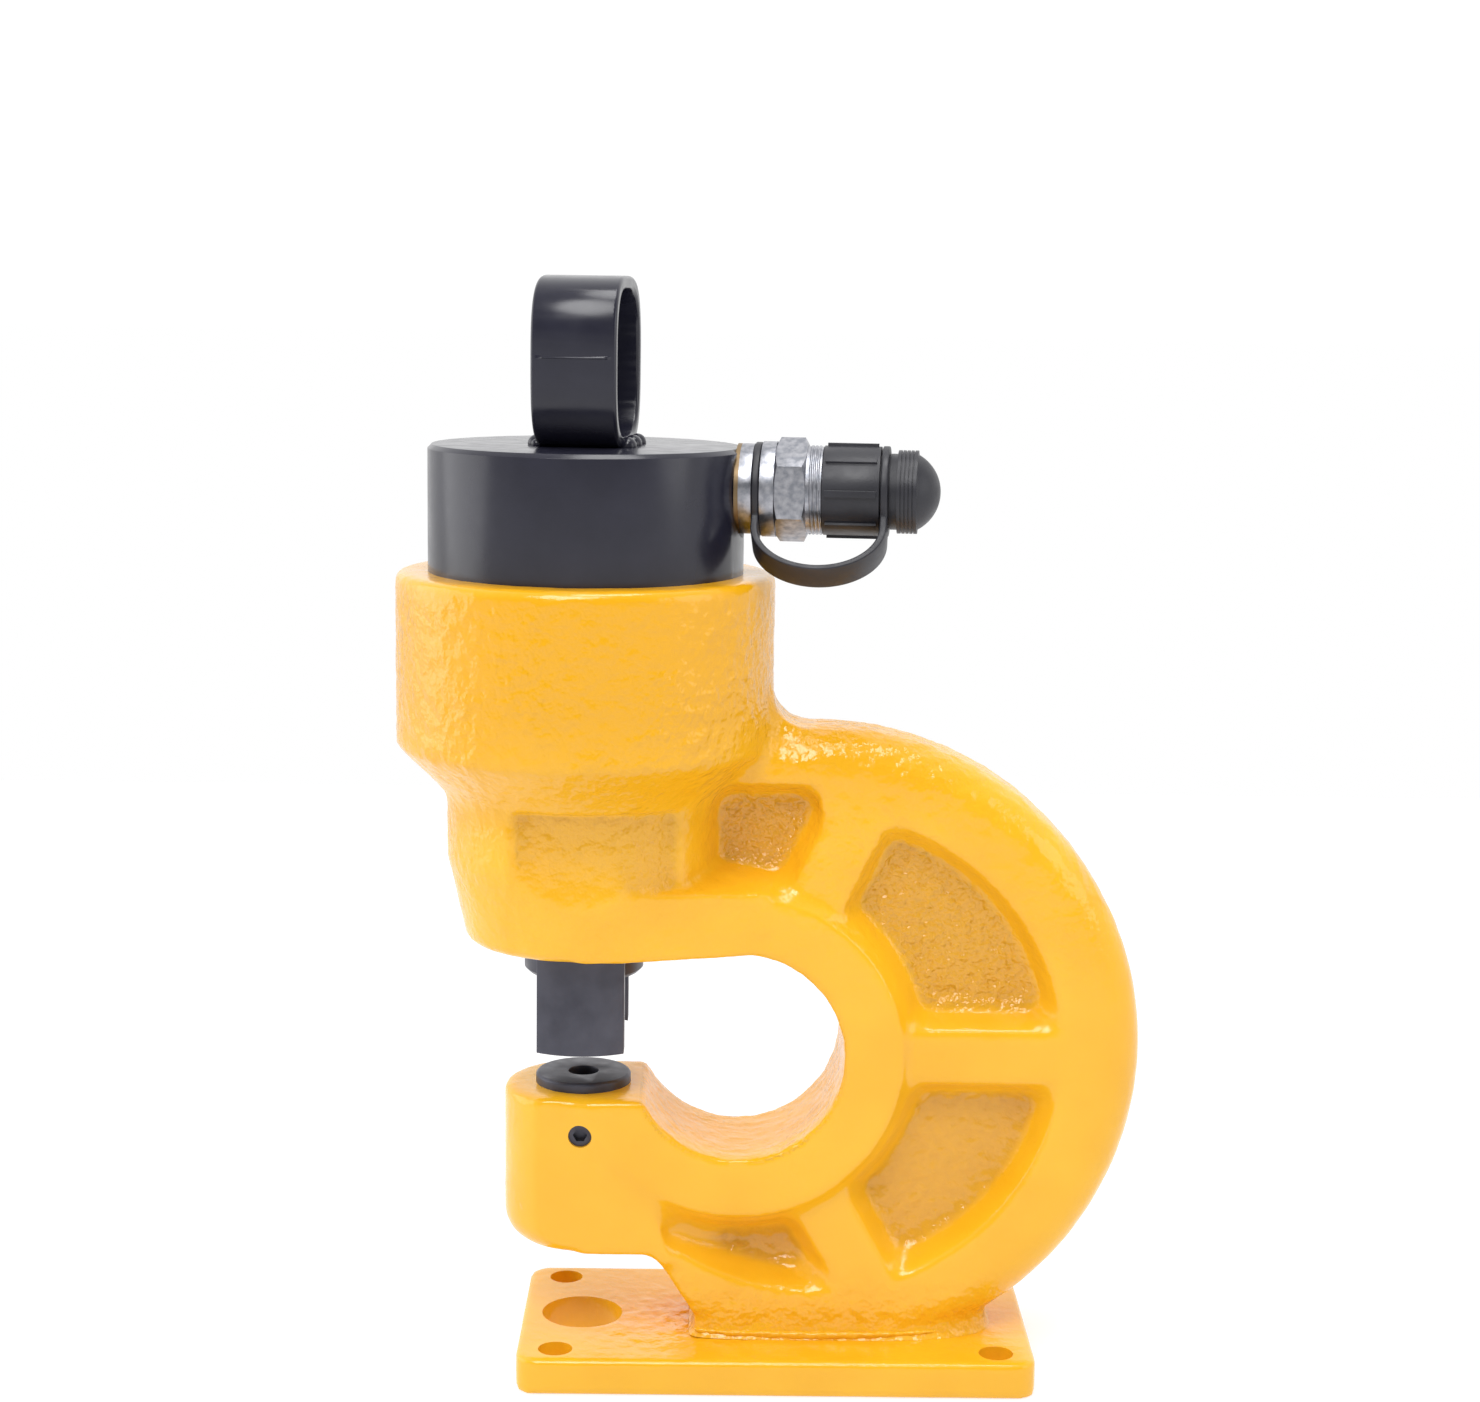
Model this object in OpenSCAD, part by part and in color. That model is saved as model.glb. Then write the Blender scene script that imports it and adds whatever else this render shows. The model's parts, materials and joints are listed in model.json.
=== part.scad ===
// Hydraulic hole punch: a cast C-frame on a bolt-down base, with a spring-return ram.
// Frame: the origin is on the punch axis at the underside of the base,
// +X runs into the throat, +Y to the rear and +Z up. Lengths are millimetres.

/* [Base plate] */
// Length of the base plate
base_l = 188; // [170:1:230]
// Width of the base plate
base_w = 92; // [88:1:120]
// Thickness of the base plate
base_t = 13; // [10:0.5:18]
// Corner radius of the base plate
base_corner_r = 8; // [4:0.5:10]
// Distance from the punch axis to the front end of the base plate
base_reach = 22; // [20:0.5:30]
// Radius of the four bolt holes
bolt_hole_r = 6.25; // [4.5:0.25:7]
// Distance from the bolt holes to the ends of the base plate
bolt_end = 14; // [11:0.5:18]
// Distance from the bolt holes to the sides of the base plate
bolt_side = 11; // [10:0.5:14]
// Radius of the hole that lets the slugs fall through the base
slug_hole_r = 15; // [13:0.5:17]

/* [Throat] */
// Depth from the punch axis to the back of the throat
throat_depth = 95; // [90:1:100]
// Radius of the round back of the throat
throat_r = 38; // [34:0.5:40]
// Height of the throat's centre above the floor
throat_z = 120; // [118:0.5:124]
// Radial width of the thick ring round the throat
ring_wall = 22; // [18:0.5:25]
// Thickness of the ring across its two faces
ring_t = 54; // [50:1:60]

/* [C-frame] */
// Radius of the round back of the frame
rim_r = 119; // [116:0.5:122]
// Distance from the punch axis to the centre of the round back
rim_x = 85; // [82:0.5:88]
// Radial width of the rim at its faces
rim_wall = 29.5; // [25:0.5:34]
// Thickness of the rim and spokes
rim_t = 45; // [42:1:49]
// Rounding of the outer edges of the rim
rim_edge_r = 16; // [8:0.5:19]
// Thickness of the web at the bottom of the pockets
web_t = 20; // [14:1:24]
// Lean of the pocket walls, from lip to floor
pocket_draft = 7; // [4:0.5:9]
// Width of the spokes at their faces
spoke_w = 19; // [15:0.5:22]
// Drop from the top of the rim to the upper lip of the pocket beside the neck
top_pocket_drop = 19; // [17:0.5:23]
// Distance from the punch axis to the heel under the lower arm
heel_x = 27; // [24:0.5:30]
// Slope of the heel down to the base, in X
heel_run = 19.5; // [14:0.5:22]

/* [Barrel and nose] */
// Outer radius of the barrel
barrel_r = 68.2; // [66.5:0.1:71]
// Height of the barrel's rim
barrel_top = 293; // [288:0.5:297]
// Height of the barrel's lower edge
barrel_bottom = 231; // [229:0.5:233]
// Rounding of the barrel's upper rim
barrel_edge_r = 3; // [1.5:0.25:4]
// Radius of the neck below the barrel
neck_r = 50; // [48:0.5:52]
// Height of the top of the neck
neck_top = 213; // [211:0.5:215]
// Height where the nose starts to taper
nose_top = 190; // [187:0.5:193]
// Radius of the nose at its lower end
nose_r = 43.8; // [42:0.2:46]
// Depth of the cast panels on the neck
panel_depth = 5; // [2:0.5:7]

/* [Lower arm] */
// Radius of the boss that holds the die
arm_r = 29; // [27.5:0.25:31]
// Thickness across the flats of the boss
arm_flat_t = 49; // [46:0.5:52]
// Height of the top of the lower arm
arm_top = 103.4; // [102:0.2:105]
// Height of the underside of the lower arm
arm_bottom = 44; // [41:0.5:48]
// Rounding of the lower edge of the boss
arm_edge_r = 12; // [6:0.5:14]

/* [Cylinder] */
// Thickness of the barrel's wall round the cylinder
barrel_wall = 11.7; // [10.5:0.1:12.7]
// Height of the cylinder's top
cyl_top = 338; // [335:0.5:345]
// Bore of the cylinder, as a share of its outside
bore_share = 0.664; // [0.64:0.002:0.69]
// Thickness of the closed end
cyl_roof_t = 31; // [29:0.5:34]
// Depth that the cylinder goes into the barrel
cyl_depth = 53; // [48:0.5:56]
// Turn of the cylinder in the barrel, in degrees
cyl_turn = -6.5; // [-12:0.5:12]

/* [Ram] */
// Travel of the ram
stroke = 22; // [16:0.5:23]
// Radius of the ram
ram_r = 20; // [18.5:0.1:20.6]
// Height of the piston head
piston_h = 32; // [28:0.5:34]
// Height of the ram's lower end at rest
ram_end_z = 161; // [160:0.25:163]
// Radius of the threaded end of the ram
ram_thread_r = 17; // [15.5:0.25:18]
// Wire diameter of the return spring
spring_wire = 4.5; // [3:0.1:4.8]
// Turns of the return spring
spring_turns = 4; // [3:0.5:4]

/* [Punching tools] */
// Radius of the punch tip
punch_r = 5.25; // [3:0.05:7]
// Radius of the punch's head
punch_head_r = 13.5; // [12:0.1:14]
// Length of the punch
punch_l = 38; // [34:0.5:39]
// Outer radius of the punch nut
nut_r = 21.8; // [20.5:0.1:22.4]
// Height of the punch nut
nut_h = 25; // [22:0.5:28]
// Outer radius of the stripper
stripper_r = 30; // [29:0.1:31]
// Radius inside the stripper
stripper_bore_r = 23.3; // [22.9:0.1:24.5]
// Width of the stripper's two legs
stripper_leg_w = 31.4; // [24:0.2:36]
// Height of the stripper's feet
stripper_foot_z = 121; // [119:0.5:124]
// Outer radius of the die
die_r = 17.5; // [16:0.1:18.5]
// Height of the die
die_h = 23; // [21:0.5:25]
// Height that the die stands out of the lower arm
die_proud = 3.6; // [2:0.1:5]
// Radial play between the punch and the die
die_play = 0.35; // [0.2:0.05:0.6]
// Radius of the die's set screw
set_screw_r = 4.25; // [3:0.05:5]

/* [Lifting ring] */
// Outer radius of the lifting ring
lift_r = 30.4; // [26:0.2:34]
// Width of its strap
lift_w = 30; // [24:0.5:34]
// Thickness of its strap
lift_t = 4.5; // [3:0.1:6]

/* [Coupler] */
// Height of the coupler's axis
coupler_z = 323.6; // [321:0.2:326]
// Width across the flats of the coupler's hexagon
coupler_af = 32; // [30:0.5:34]
// Radius of the coupler's round collar
collar_r = 16.9; // [16:0.1:17.5]
// Radius of the dust cap's skirt
cap_r = 15.8; // [15:0.1:16.5]
// Number of grip ribs on the dust cap
cap_ribs = 8; // [6:1:12]
// Width of the dust cap's tether strap
strap_w = 12; // [8:0.5:14]
// Thickness of the tether
strap_t = 2.5; // [1.5:0.1:3]
// Swing of the tether's loop towards the viewer, in degrees
strap_swing = 40; // [10:1:60]

/* [Hidden] */
$fn = 96;

yellow = "#f7b937";
black = "#3c3c44";
blued = "#50505c";
zinc = "#c9ccd0";
steel = "#9a9da3";
bronze = "#b08d57";
rubber = "#2b2b2e";
seal_green = "#3f7f5f";

// Overrun of every cut past the face that it opens
over = 1;
// Radial clearance of a sliding fit
slide_gap = 0.04;
// Radial clearance of a seated ring or screwed piece
seat_gap = 0.03;
// Clearance between pieces that pass each other
pass_gap = 0.4;

// Base plate
bolt_pitch_x = base_l - 2 * bolt_end;
bolt_pitch_y = base_w - 2 * bolt_side;

// Frame outline, with the rim's round sunk into the base so that it has a flat foot
throat_x = throat_depth - throat_r;
foot_sink = 12;
rim_z = base_t + rim_r - foot_sink;
top_pocket_z = rim_z + rim_r - top_pocket_drop;
ring_r = throat_r + ring_wall;
rim_lip_r = rim_r - rim_wall;
rim_half = rim_t / 2;
ring_half = ring_t / 2;
web_half = web_t / 2;
nose_bottom = throat_z + throat_r;
spoke_up = 64.5;
spoke_down = -61;
spoke_angles = [spoke_up, 0, spoke_down];
shoulder_r = 12;
nose_edge_r = 5;
neck_fillet_r = 10;
arm_top_bevel = 1.5;
bar_front_x = 16;
bar_proud = 1.5;
heel_lean = 7.6;
heel_drop = 3;
heel_slope = heel_run / (arm_bottom - base_t);
plate_end = -arm_r / 2;
foot_weld = 2.5;
split_back = 3;
split_x = throat_x - split_back;

// Bores down the punch axis
cyl_r = barrel_r - barrel_wall;
bore_r = cyl_r * bore_share;
cyl_seat = barrel_top - cyl_depth;
chamber_depth = 18;
chamber_floor = cyl_seat - chamber_depth;
chamber_play = 0.5;
chamber_r = bore_r + chamber_play;
bush_r = 25;
spring_r = (bush_r + bore_r) / 2;
bush_flange_r = spring_r + spring_wire / 2;
bush_flange_t = 4;
wiper_h = 6;
stripper_ring_h = 20;
stripper_seat = nose_bottom + stripper_ring_h;
wiper_z = stripper_seat;
bush_bottom = wiper_z + wiper_h;

// Ram and piston
cyl_edge = 1.5;
cyl_roof = cyl_top - cyl_roof_t;
piston_top_gap = 3;
piston_top = cyl_roof - piston_top_gap;
piston_z = piston_top - piston_h;
bush_top = piston_z - stroke - pass_gap;
piston_r = bore_r - 2 * slide_gap;
piston_edge = 1.5;
seal_h = 7;
backup_h = 2;
band_h = 8;
seal_depth = 5.5;
band_depth = 2.5;
seal_share = 0.6;
band_share = 0.15;
seal_z = piston_z + piston_h * seal_share;
band_z = piston_z + piston_h * band_share;
spring_z = chamber_floor + bush_flange_t;
spring_l = piston_z - spring_z;
spring_rings = 24;
wire_sides = 8;

// Punch, nut and die
nut_grip = 10;
nut_z = ram_end_z + nut_grip - nut_h;
nut_lip = 4;
nut_lip_r = 9.5;
nut_bevel = 1.5;
nut_pin_r = 2;
nut_pin_depth = 4;
punch_base_h = 5;
punch_neck_h = 12;
punch_point_h = 1.6;
punch_fillet_r = 4;
die_seat = arm_top + die_proud - die_h;
die_bore_r = punch_r + die_play;
die_land = 6;
die_relief = 1.6;
die_groove_w = 5;
die_groove_depth = 2;
die_groove_up = 5.5;
die_groove_z = die_seat + die_groove_up;
die_edge = 0.8;
slug_share = 0.7;
slug_r = die_r * slug_share;
screw_sink = 1.5;
screw_dog_r = die_groove_w / 2 - pass_gap;
screw_hex_r = 2.6;
screw_hex_depth = 3;

// Lifting ring
lift_flat = 1.2;
lift_z = cyl_top + lift_r - lift_flat;
lift_edge = 1.4;
weld_r = 2.4;
lift_foot = sqrt(lift_r * lift_r - (lift_r - lift_flat) * (lift_r - lift_flat));

// Coupler, by distance from the punch axis along its own axis
spot_depth = 2;
spot_x = cyl_r - spot_depth;
spot_play = 0.6;
spot_r = collar_r + spot_play;
port_seal_t = 1.5;
port_r = 8.6;
port_l = 17;
oil_way_r = 2.5;
flange_x = spot_x + port_seal_t;
flange_l = 4.5;
flange_step = 0.9;
flange_r = collar_r - flange_step;
tether_groove_x = flange_x + flange_l;
tether_groove_l = 3;
tether_groove_r = 13.4;
collar_x = tether_groove_x + tether_groove_l;
collar_l = 5;
hex_x = collar_x + collar_l;
hex_l = 11;
hex_bevel = 1.8;
coupler_neck_x = hex_x + hex_l;
coupler_neck_l = 5.5;
coupler_neck_r = 15.4;
spigot_x = coupler_neck_x + coupler_neck_l;
spigot_l = 17;
spigot_r = 12.4;
valve_r = 6.5;
valve_mouth_r = 4.4;
valve_mouth_l = 3;
valve_travel = 3;
poppet_play = 0.6;
poppet_r = valve_r - poppet_play;
poppet_l = 7;
poppet_nose_r = valve_mouth_r - pass_gap;
poppet_stem_r = 2;
poppet_stem_l = 12;
poppet_seal_t = 1.4;
poppet_end = spigot_x + spigot_l - valve_mouth_l;
spider_t = 3;
spider_hole_r = 1.1;
spider_holes = 5;
coil_wire = 0.9;
coil_r = 4.4;
coil_turns = 4;
coil_pitch = 1.6;
coil_l = coil_turns * coil_pitch + coil_wire;
spring_seat_x = poppet_end - poppet_seal_t - poppet_l - valve_travel - pass_gap - coil_l;
spider_x = spring_seat_x - spider_t;
spider_hole_share = 0.65;

// Dust cap and tether
cap_gap = 0.3;
cap_x = spigot_x + cap_gap;
cap_skirt_l = 20;
cap_rib_h = 1;
cap_rib_w = 2.2;
cap_bore_r = spigot_r + cap_gap;
cap_groove_x = cap_x + cap_skirt_l;
cap_groove_l = 3.5;
cap_groove_r = 12.8;
cap_neck_l = 2.5;
cap_band_x = cap_groove_x + cap_groove_l + cap_neck_l;
cap_band_l = 7;
cap_band_r = 14.7;
cap_neck_r = 13.4;
cap_rings = 5;
cap_ring_depth = 0.6;
cap_ring_share = 0.3;
cap_dome_r = 15;
cap_dome_l = 8;
cap_end = cap_band_x + cap_band_l + cap_dome_l;
tether_ring_w = 3.2;
strap_mid_x = (tether_groove_x + tether_groove_l / 2 + cap_groove_x + cap_groove_l / 2) / 2;
strap_r = (cap_groove_x + cap_groove_l / 2 - tether_groove_x - tether_groove_l / 2) / 2;
strap_drop = 20.5;
strap_root = cap_groove_r + tether_ring_w / 2;

// An outline in X and Z, given a thickness centred on the frame's middle plane
module across(t) {
    rotate([90, 0, 0]) linear_extrude(t, center = true) children();
}

// A profile in Y and Z, run along X from one place to another
module along_x(from, to) {
    translate([from, 0, 0]) rotate([90, 0, 90]) linear_extrude(to - from) children();
}

// A revolved or straight solid on an axis across the frame, through a place in X and Z
module cross_axis(x, z) {
    translate([x, 0, z]) rotate([90, 0, 0]) children();
}

// Solids on the coupler's axis, where local Z is the distance from the punch axis
module coupler_axis() {
    rotate([0, 0, cyl_turn]) translate([0, 0, coupler_z]) rotate([0, 90, 0]) children();
}

module tube(r_out, r_in, h) {
    difference() {
        cylinder(h = h, r = r_out);
        translate([0, 0, -over]) cylinder(h = h + 2 * over, r = r_in);
    }
}

// Half of a revolved block with both outer corners rounded
module bullnose_profile(r, half, edge) {
    translate([0, -half]) square([r - edge, 2 * half]);
    translate([0, edge - half]) square([r, 2 * (half - edge)]);
    for (s = [-1, 1]) translate([r - edge, s * (half - edge)]) circle(edge);
}

// Wire wound on the Z axis from z = 0 to z = l
function coil_point(i, j, r, wire, l, turns) =
    let (a = 360 * turns * i, b = 360 * j / wire_sides, s = r + wire / 2 * cos(b))
    [s * cos(a), s * sin(a), wire / 2 + (l - wire) * i + wire / 2 * sin(b)];

module coil(r, wire, l, turns) {
    n = ceil(turns * spring_rings);
    m = wire_sides;
    points = [for (i = [0:n]) for (j = [0:m - 1]) coil_point(i / n, j, r, wire, l, turns)];
    side = [for (i = [0:n - 1]) for (j = [0:m - 1]) let (k = (j + 1) % m)
        each [[i * m + j, i * m + k, (i + 1) * m + j], [i * m + k, (i + 1) * m + k, (i + 1) * m + j]]];
    first = [for (j = [1:m - 2]) [0, j + 1, j]];
    last = [for (j = [1:m - 2]) [n * m, n * m + j, n * m + j + 1]];
    polyhedron(points, concat(side, first, last), convexity = 10);
}

module throat_outline() {
    far = rim_r + barrel_r;
    translate([throat_x, throat_z]) circle(throat_r);
    translate([throat_x - far, arm_top]) square([far, nose_bottom - arm_top]);
}

// Cast disc that the frame's back, pockets and foot are shaped from
module frame_plate() {
    far = rim_r + barrel_r;
    intersection() {
        cross_axis(rim_x, rim_z) rotate_extrude() bullnose_profile(rim_r, rim_half, rim_edge_r);
        across(rim_t + 2 * over) difference() {
            translate([-far / 2, base_t]) square([2 * far, 2 * far]);
            polygon([[-far, base_t - over], [heel_x + heel_run, base_t - over], [heel_x + heel_run, base_t],
                [heel_x, arm_bottom], [plate_end, arm_bottom], [plate_end, throat_z], [-far, throat_z]]);
        }
    }
}

// Metal that stays between the pockets on one side: the throat's ring and the spokes
module pocket_islands() {
    depth = rim_half - web_half;
    slope = pocket_draft / depth;
    lip_lean = slope * (ring_half - web_half);
    spoke_top = spoke_w / 2 - slope * 2 * over;
    cross_axis(throat_x, throat_z) translate([0, 0, web_half]) {
        cylinder(h = ring_half - web_half, r1 = ring_r + lip_lean, r2 = ring_r);
        translate([-throat_x, 0, 0]) rotate([90, 0, 90]) linear_extrude(throat_x)
            polygon([[0, 0], [ring_r + lip_lean, 0], [ring_r, ring_half - web_half],
                [0, ring_half - web_half]]);
        for (a = spoke_angles) rotate(a) rotate([90, 0, 90]) linear_extrude(rim_r)
            polygon([[-spoke_w / 2 - pocket_draft, 0], [spoke_w / 2 + pocket_draft, 0],
                [spoke_top, depth + 2 * over], [-spoke_top, depth + 2 * over]]);
    }
}

// The four pockets of the viewer's side
module pockets() {
    depth = rim_half - web_half;
    slope = pocket_draft / depth;
    lip_z = top_pocket_z - rim_z;
    difference() {
        cross_axis(rim_x, rim_z) translate([0, 0, web_half]) {
            cylinder(h = depth + over, r1 = rim_lip_r - pocket_draft, r2 = rim_lip_r + slope * over);
            translate([-rim_x, 0, 0]) rotate([90, 0, 90]) linear_extrude(rim_x)
                polygon([[0, 0], [lip_z - pocket_draft, 0], [lip_z + slope * over, depth + over],
                    [0, depth + over]]);
        }
        pocket_islands();
    }
}

// Thick bar over the throat, narrowing from the nose to the ring
module nose_bar() {
    bar_end = throat_x + ring_wall / 2;
    tangent_y = sqrt(nose_r * nose_r - bar_front_x * bar_front_x) + bar_proud;
    translate([0, 0, nose_bottom]) linear_extrude(ring_wall)
        polygon([[0, -nose_r], [bar_front_x, -tangent_y], [bar_end, -ring_half], [bar_end, ring_half],
            [bar_front_x, tangent_y], [0, nose_r]]);
}

// Barrel, cone, neck and tapered nose in one turned form
module barrel_profile() {
    cone_a = atan2(barrel_bottom - neck_top, barrel_r - neck_r);
    run = neck_fillet_r * tan((90 - cone_a) / 2);
    cone_x = neck_r + run * cos(cone_a);
    cone_z = neck_top + run * sin(cone_a);
    difference() {
        union() {
            translate([0, barrel_bottom]) square([barrel_r, barrel_top - barrel_edge_r - barrel_bottom]);
            translate([0, barrel_top - barrel_edge_r]) square([barrel_r - barrel_edge_r, barrel_edge_r]);
            translate([barrel_r - barrel_edge_r, barrel_top - barrel_edge_r]) circle(barrel_edge_r);
            polygon([[0, nose_bottom + nose_edge_r], [nose_r, nose_bottom + nose_edge_r], [neck_r, nose_top],
                [neck_r, neck_top], [barrel_r, barrel_bottom], [0, barrel_bottom]]);
            difference() {
                polygon([[0, neck_top - run], [neck_r, neck_top - run], [cone_x, cone_z], [0, cone_z]]);
                translate([neck_r + neck_fillet_r, neck_top - run]) circle(neck_fillet_r);
            }
            translate([0, nose_bottom]) square([nose_r - nose_edge_r, nose_edge_r + over]);
            intersection() {
                translate([nose_r - nose_edge_r, nose_bottom + nose_edge_r]) circle(nose_edge_r);
                translate([0, nose_bottom]) square([nose_r, nose_edge_r + over]);
            }
        }
        translate([-barrel_r, nose_bottom]) square([barrel_r, barrel_top]);
    }
}

module barrel() {
    rotate_extrude() barrel_profile();
}

// Fillet from the barrel down to the top of the rim
module shoulder() {
    top = rim_z + sqrt(rim_r * rim_r - pow(barrel_r + shoulder_r - rim_x, 2));
    across(rim_t - rim_edge_r) difference() {
        translate([barrel_r - shoulder_r, top - shoulder_r]) square(2 * shoulder_r);
        translate([barrel_r + shoulder_r, top + shoulder_r]) circle(shoulder_r);
    }
}

// Boss under the die, with milled flats for the set screw
module lower_arm() {
    intersection() {
        union() {
            rotate_extrude() {
                translate([0, arm_bottom]) square([arm_r - arm_edge_r, arm_edge_r + over]);
                intersection() {
                    translate([arm_r - arm_edge_r, arm_bottom + arm_edge_r]) circle(arm_edge_r);
                    translate([0, arm_bottom]) square([arm_r, arm_edge_r + over]);
                }
                polygon([[0, arm_bottom + arm_edge_r], [arm_r, arm_bottom + arm_edge_r],
                    [arm_r, arm_top - arm_top_bevel], [arm_r - arm_top_bevel, arm_top], [0, arm_top]]);
            }
            across(arm_flat_t) polygon([[0, arm_bottom], [heel_x, arm_bottom],
                [heel_x + heel_drop * heel_slope, arm_bottom - heel_drop],
                [heel_x + heel_lean, arm_bottom - heel_drop], [heel_x, throat_z - ring_r],
                [heel_x, arm_top], [0, arm_top]]);
        }
        across(arm_flat_t) translate([-arm_r - over, base_t])
            square([2 * arm_r + throat_depth, arm_top - base_t]);
    }
}

// Shallow cast panel on the front of the neck
module neck_panel() {
    floor_y = neck_r - panel_depth;
    panel_z = (nose_bottom + nose_top) / 2 + nose_edge_r;
    panel_top = neck_top - panel_depth / 2;
    half = sqrt(neck_r * neck_r - floor_y * floor_y) + panel_depth;
    along_x(-half, half) polygon([[-neck_r - over, panel_z], [-floor_y - panel_depth / 2, panel_z],
        [-floor_y, nose_top], [-floor_y, panel_top], [-neck_r - over, panel_top]]);
}

// The whole casting
module casting() {
    difference() {
        union() {
            difference() {
                union() {
                    frame_plate();
                    cross_axis(throat_x, throat_z) cylinder(h = ring_t, r = ring_r, center = true);
                }
                for (s = [0, 1]) mirror([0, s, 0]) pockets();
            }
            nose_bar();
            barrel();
            shoulder();
            lower_arm();
        }
        across(2 * barrel_r) throat_outline();
        for (s = [0, 1]) mirror([0, s, 0]) neck_panel();
        frame_bores();
    }
}

// A block that takes one part of the casting, by its span in X and Z
module frame_part(x_from, x_to, z_from, z_to) {
    translate([x_from, -2 * barrel_r, z_from]) cube([x_to - x_from, 4 * barrel_r, z_to - z_from]);
}

// The casting's four parts meet face to face, so that each goes round little of the throat
module frame_head() {
    color(yellow) intersection() {
        casting();
        frame_part(-2 * barrel_r, rim_x, throat_z, barrel_top + rim_r);
    }
}

module frame_crown() {
    color(yellow) intersection() {
        casting();
        frame_part(rim_x, rim_x + 2 * rim_r, throat_z, barrel_top + rim_r);
    }
}

module frame_back() {
    color(yellow) intersection() {
        casting();
        frame_part(split_x, rim_x + 2 * rim_r, 0, throat_z);
    }
}

module frame_arm() {
    color(yellow) intersection() {
        casting();
        frame_part(-2 * barrel_r, split_x, 0, throat_z);
    }
}

// Machined bores of the frame, from the barrel down to the slug passage
module frame_bores() {
    translate([0, 0, cyl_seat]) cylinder(h = cyl_depth + over, r = cyl_r + seat_gap);
    translate([0, 0, chamber_floor]) cylinder(h = cyl_seat - chamber_floor + over, r = chamber_r);
    translate([0, 0, wiper_z - over]) cylinder(h = chamber_floor - wiper_z + 2 * over, r = bush_r + seat_gap);
    translate([0, 0, nose_bottom - over]) cylinder(h = stripper_ring_h + over, r = stripper_r + seat_gap);
    translate([0, 0, die_seat]) cylinder(h = die_h, r = die_r + seat_gap);
    translate([0, 0, arm_bottom - over]) cylinder(h = die_seat - arm_bottom + 2 * over, r = slug_r);
    cross_axis(0, die_groove_z) cylinder(h = arm_flat_t, r = set_screw_r + seat_gap);
}

module base_plate() {
    color(yellow) difference() {
        translate([base_l / 2 - base_reach, 0, 0]) linear_extrude(base_t) {
            square([base_l, base_w - 2 * base_corner_r], center = true);
            square([base_l - 2 * base_corner_r, base_w], center = true);
            for (x = [-1, 1], y = [-1, 1])
                translate([x * (base_l / 2 - base_corner_r), y * (base_w / 2 - base_corner_r)])
                    circle(base_corner_r);
        }
        translate([base_l / 2 - base_reach, 0, -over]) for (x = [-1, 1], y = [-1, 1])
            translate([x * bolt_pitch_x / 2, y * bolt_pitch_y / 2])
                cylinder(h = base_t + 2 * over, r = bolt_hole_r);
        translate([0, 0, -over]) cylinder(h = base_t + 2 * over, r = slug_hole_r);
    }
}

// Weld bead round the frame's foot, on the base plate
module base_weld() {
    heel_end = heel_x + heel_run;
    foot_end = rim_x + sqrt(rim_r * rim_r - pow(rim_z - base_t, 2));
    color(yellow) difference() {
        intersection() {
            cross_axis(rim_x, rim_z) rotate_extrude()
                bullnose_profile(rim_r + foot_weld, rim_half + foot_weld, rim_edge_r + foot_weld);
            across(rim_t + 2 * foot_weld + over) polygon([[heel_end - foot_weld, base_t],
                [foot_end + foot_weld, base_t], [foot_end + foot_weld, base_t + foot_weld],
                [heel_end - foot_weld - foot_weld * heel_slope, base_t + foot_weld]]);
        }
        frame_plate();
    }
}

module cylinder_shell() {
    rotate_extrude() polygon([[0, cyl_seat], [cyl_r, cyl_seat], [cyl_r, cyl_top - cyl_edge],
        [cyl_r - cyl_edge, cyl_top], [0, cyl_top]]);
}

module oil_cylinder() {
    color(black) difference() {
        cylinder_shell();
        translate([0, 0, cyl_seat - over]) cylinder(h = cyl_roof - cyl_seat + over, r = bore_r);
        translate([0, 0, cyl_roof - over]) cylinder(h = coupler_z - cyl_roof + over, r = oil_way_r);
        coupler_axis() {
            cylinder(h = cyl_r, r = oil_way_r);
            translate([0, 0, spot_x - port_l - over]) cylinder(h = port_l + 2 * over, r = port_r + seat_gap);
            translate([0, 0, spot_x]) cylinder(h = spot_depth + over, r = spot_r);
        }
    }
}

// Rolled strap with rounded edges, flattened where it stands on the cylinder
module lift_ring() {
    color(black) intersection() {
        rotate([0, 0, cyl_turn]) translate([0, 0, lift_z]) rotate([0, 90, 0]) rotate_extrude()
            translate([lift_r - lift_t, 0]) {
                translate([0, lift_edge - lift_w / 2]) square([lift_t, lift_w - 2 * lift_edge]);
                translate([lift_edge, -lift_w / 2]) square([lift_t - 2 * lift_edge, lift_w]);
                for (x = [lift_edge, lift_t - lift_edge], y = [-1, 1])
                    translate([x, y * (lift_w / 2 - lift_edge)]) circle(lift_edge);
            }
        translate([-cyl_r, -cyl_r, cyl_top]) cube([2 * cyl_r, 2 * cyl_r, 2 * lift_r]);
    }
}

// Weld beads along both ends of the strap's foot
module lift_ring_weld() {
    color(black) rotate([0, 0, cyl_turn]) for (s = [-1, 1]) intersection() {
        translate([s * (lift_w / 2 + weld_r / 2), 0, cyl_top]) rotate([90, 0, 0])
            cylinder(h = 2 * lift_foot, r = weld_r, center = true);
        translate([s > 0 ? lift_w / 2 : -lift_w / 2 - 2 * weld_r, -lift_foot - over, cyl_top])
            cube([2 * weld_r, 2 * (lift_foot + over), weld_r + over]);
    }
}

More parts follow.
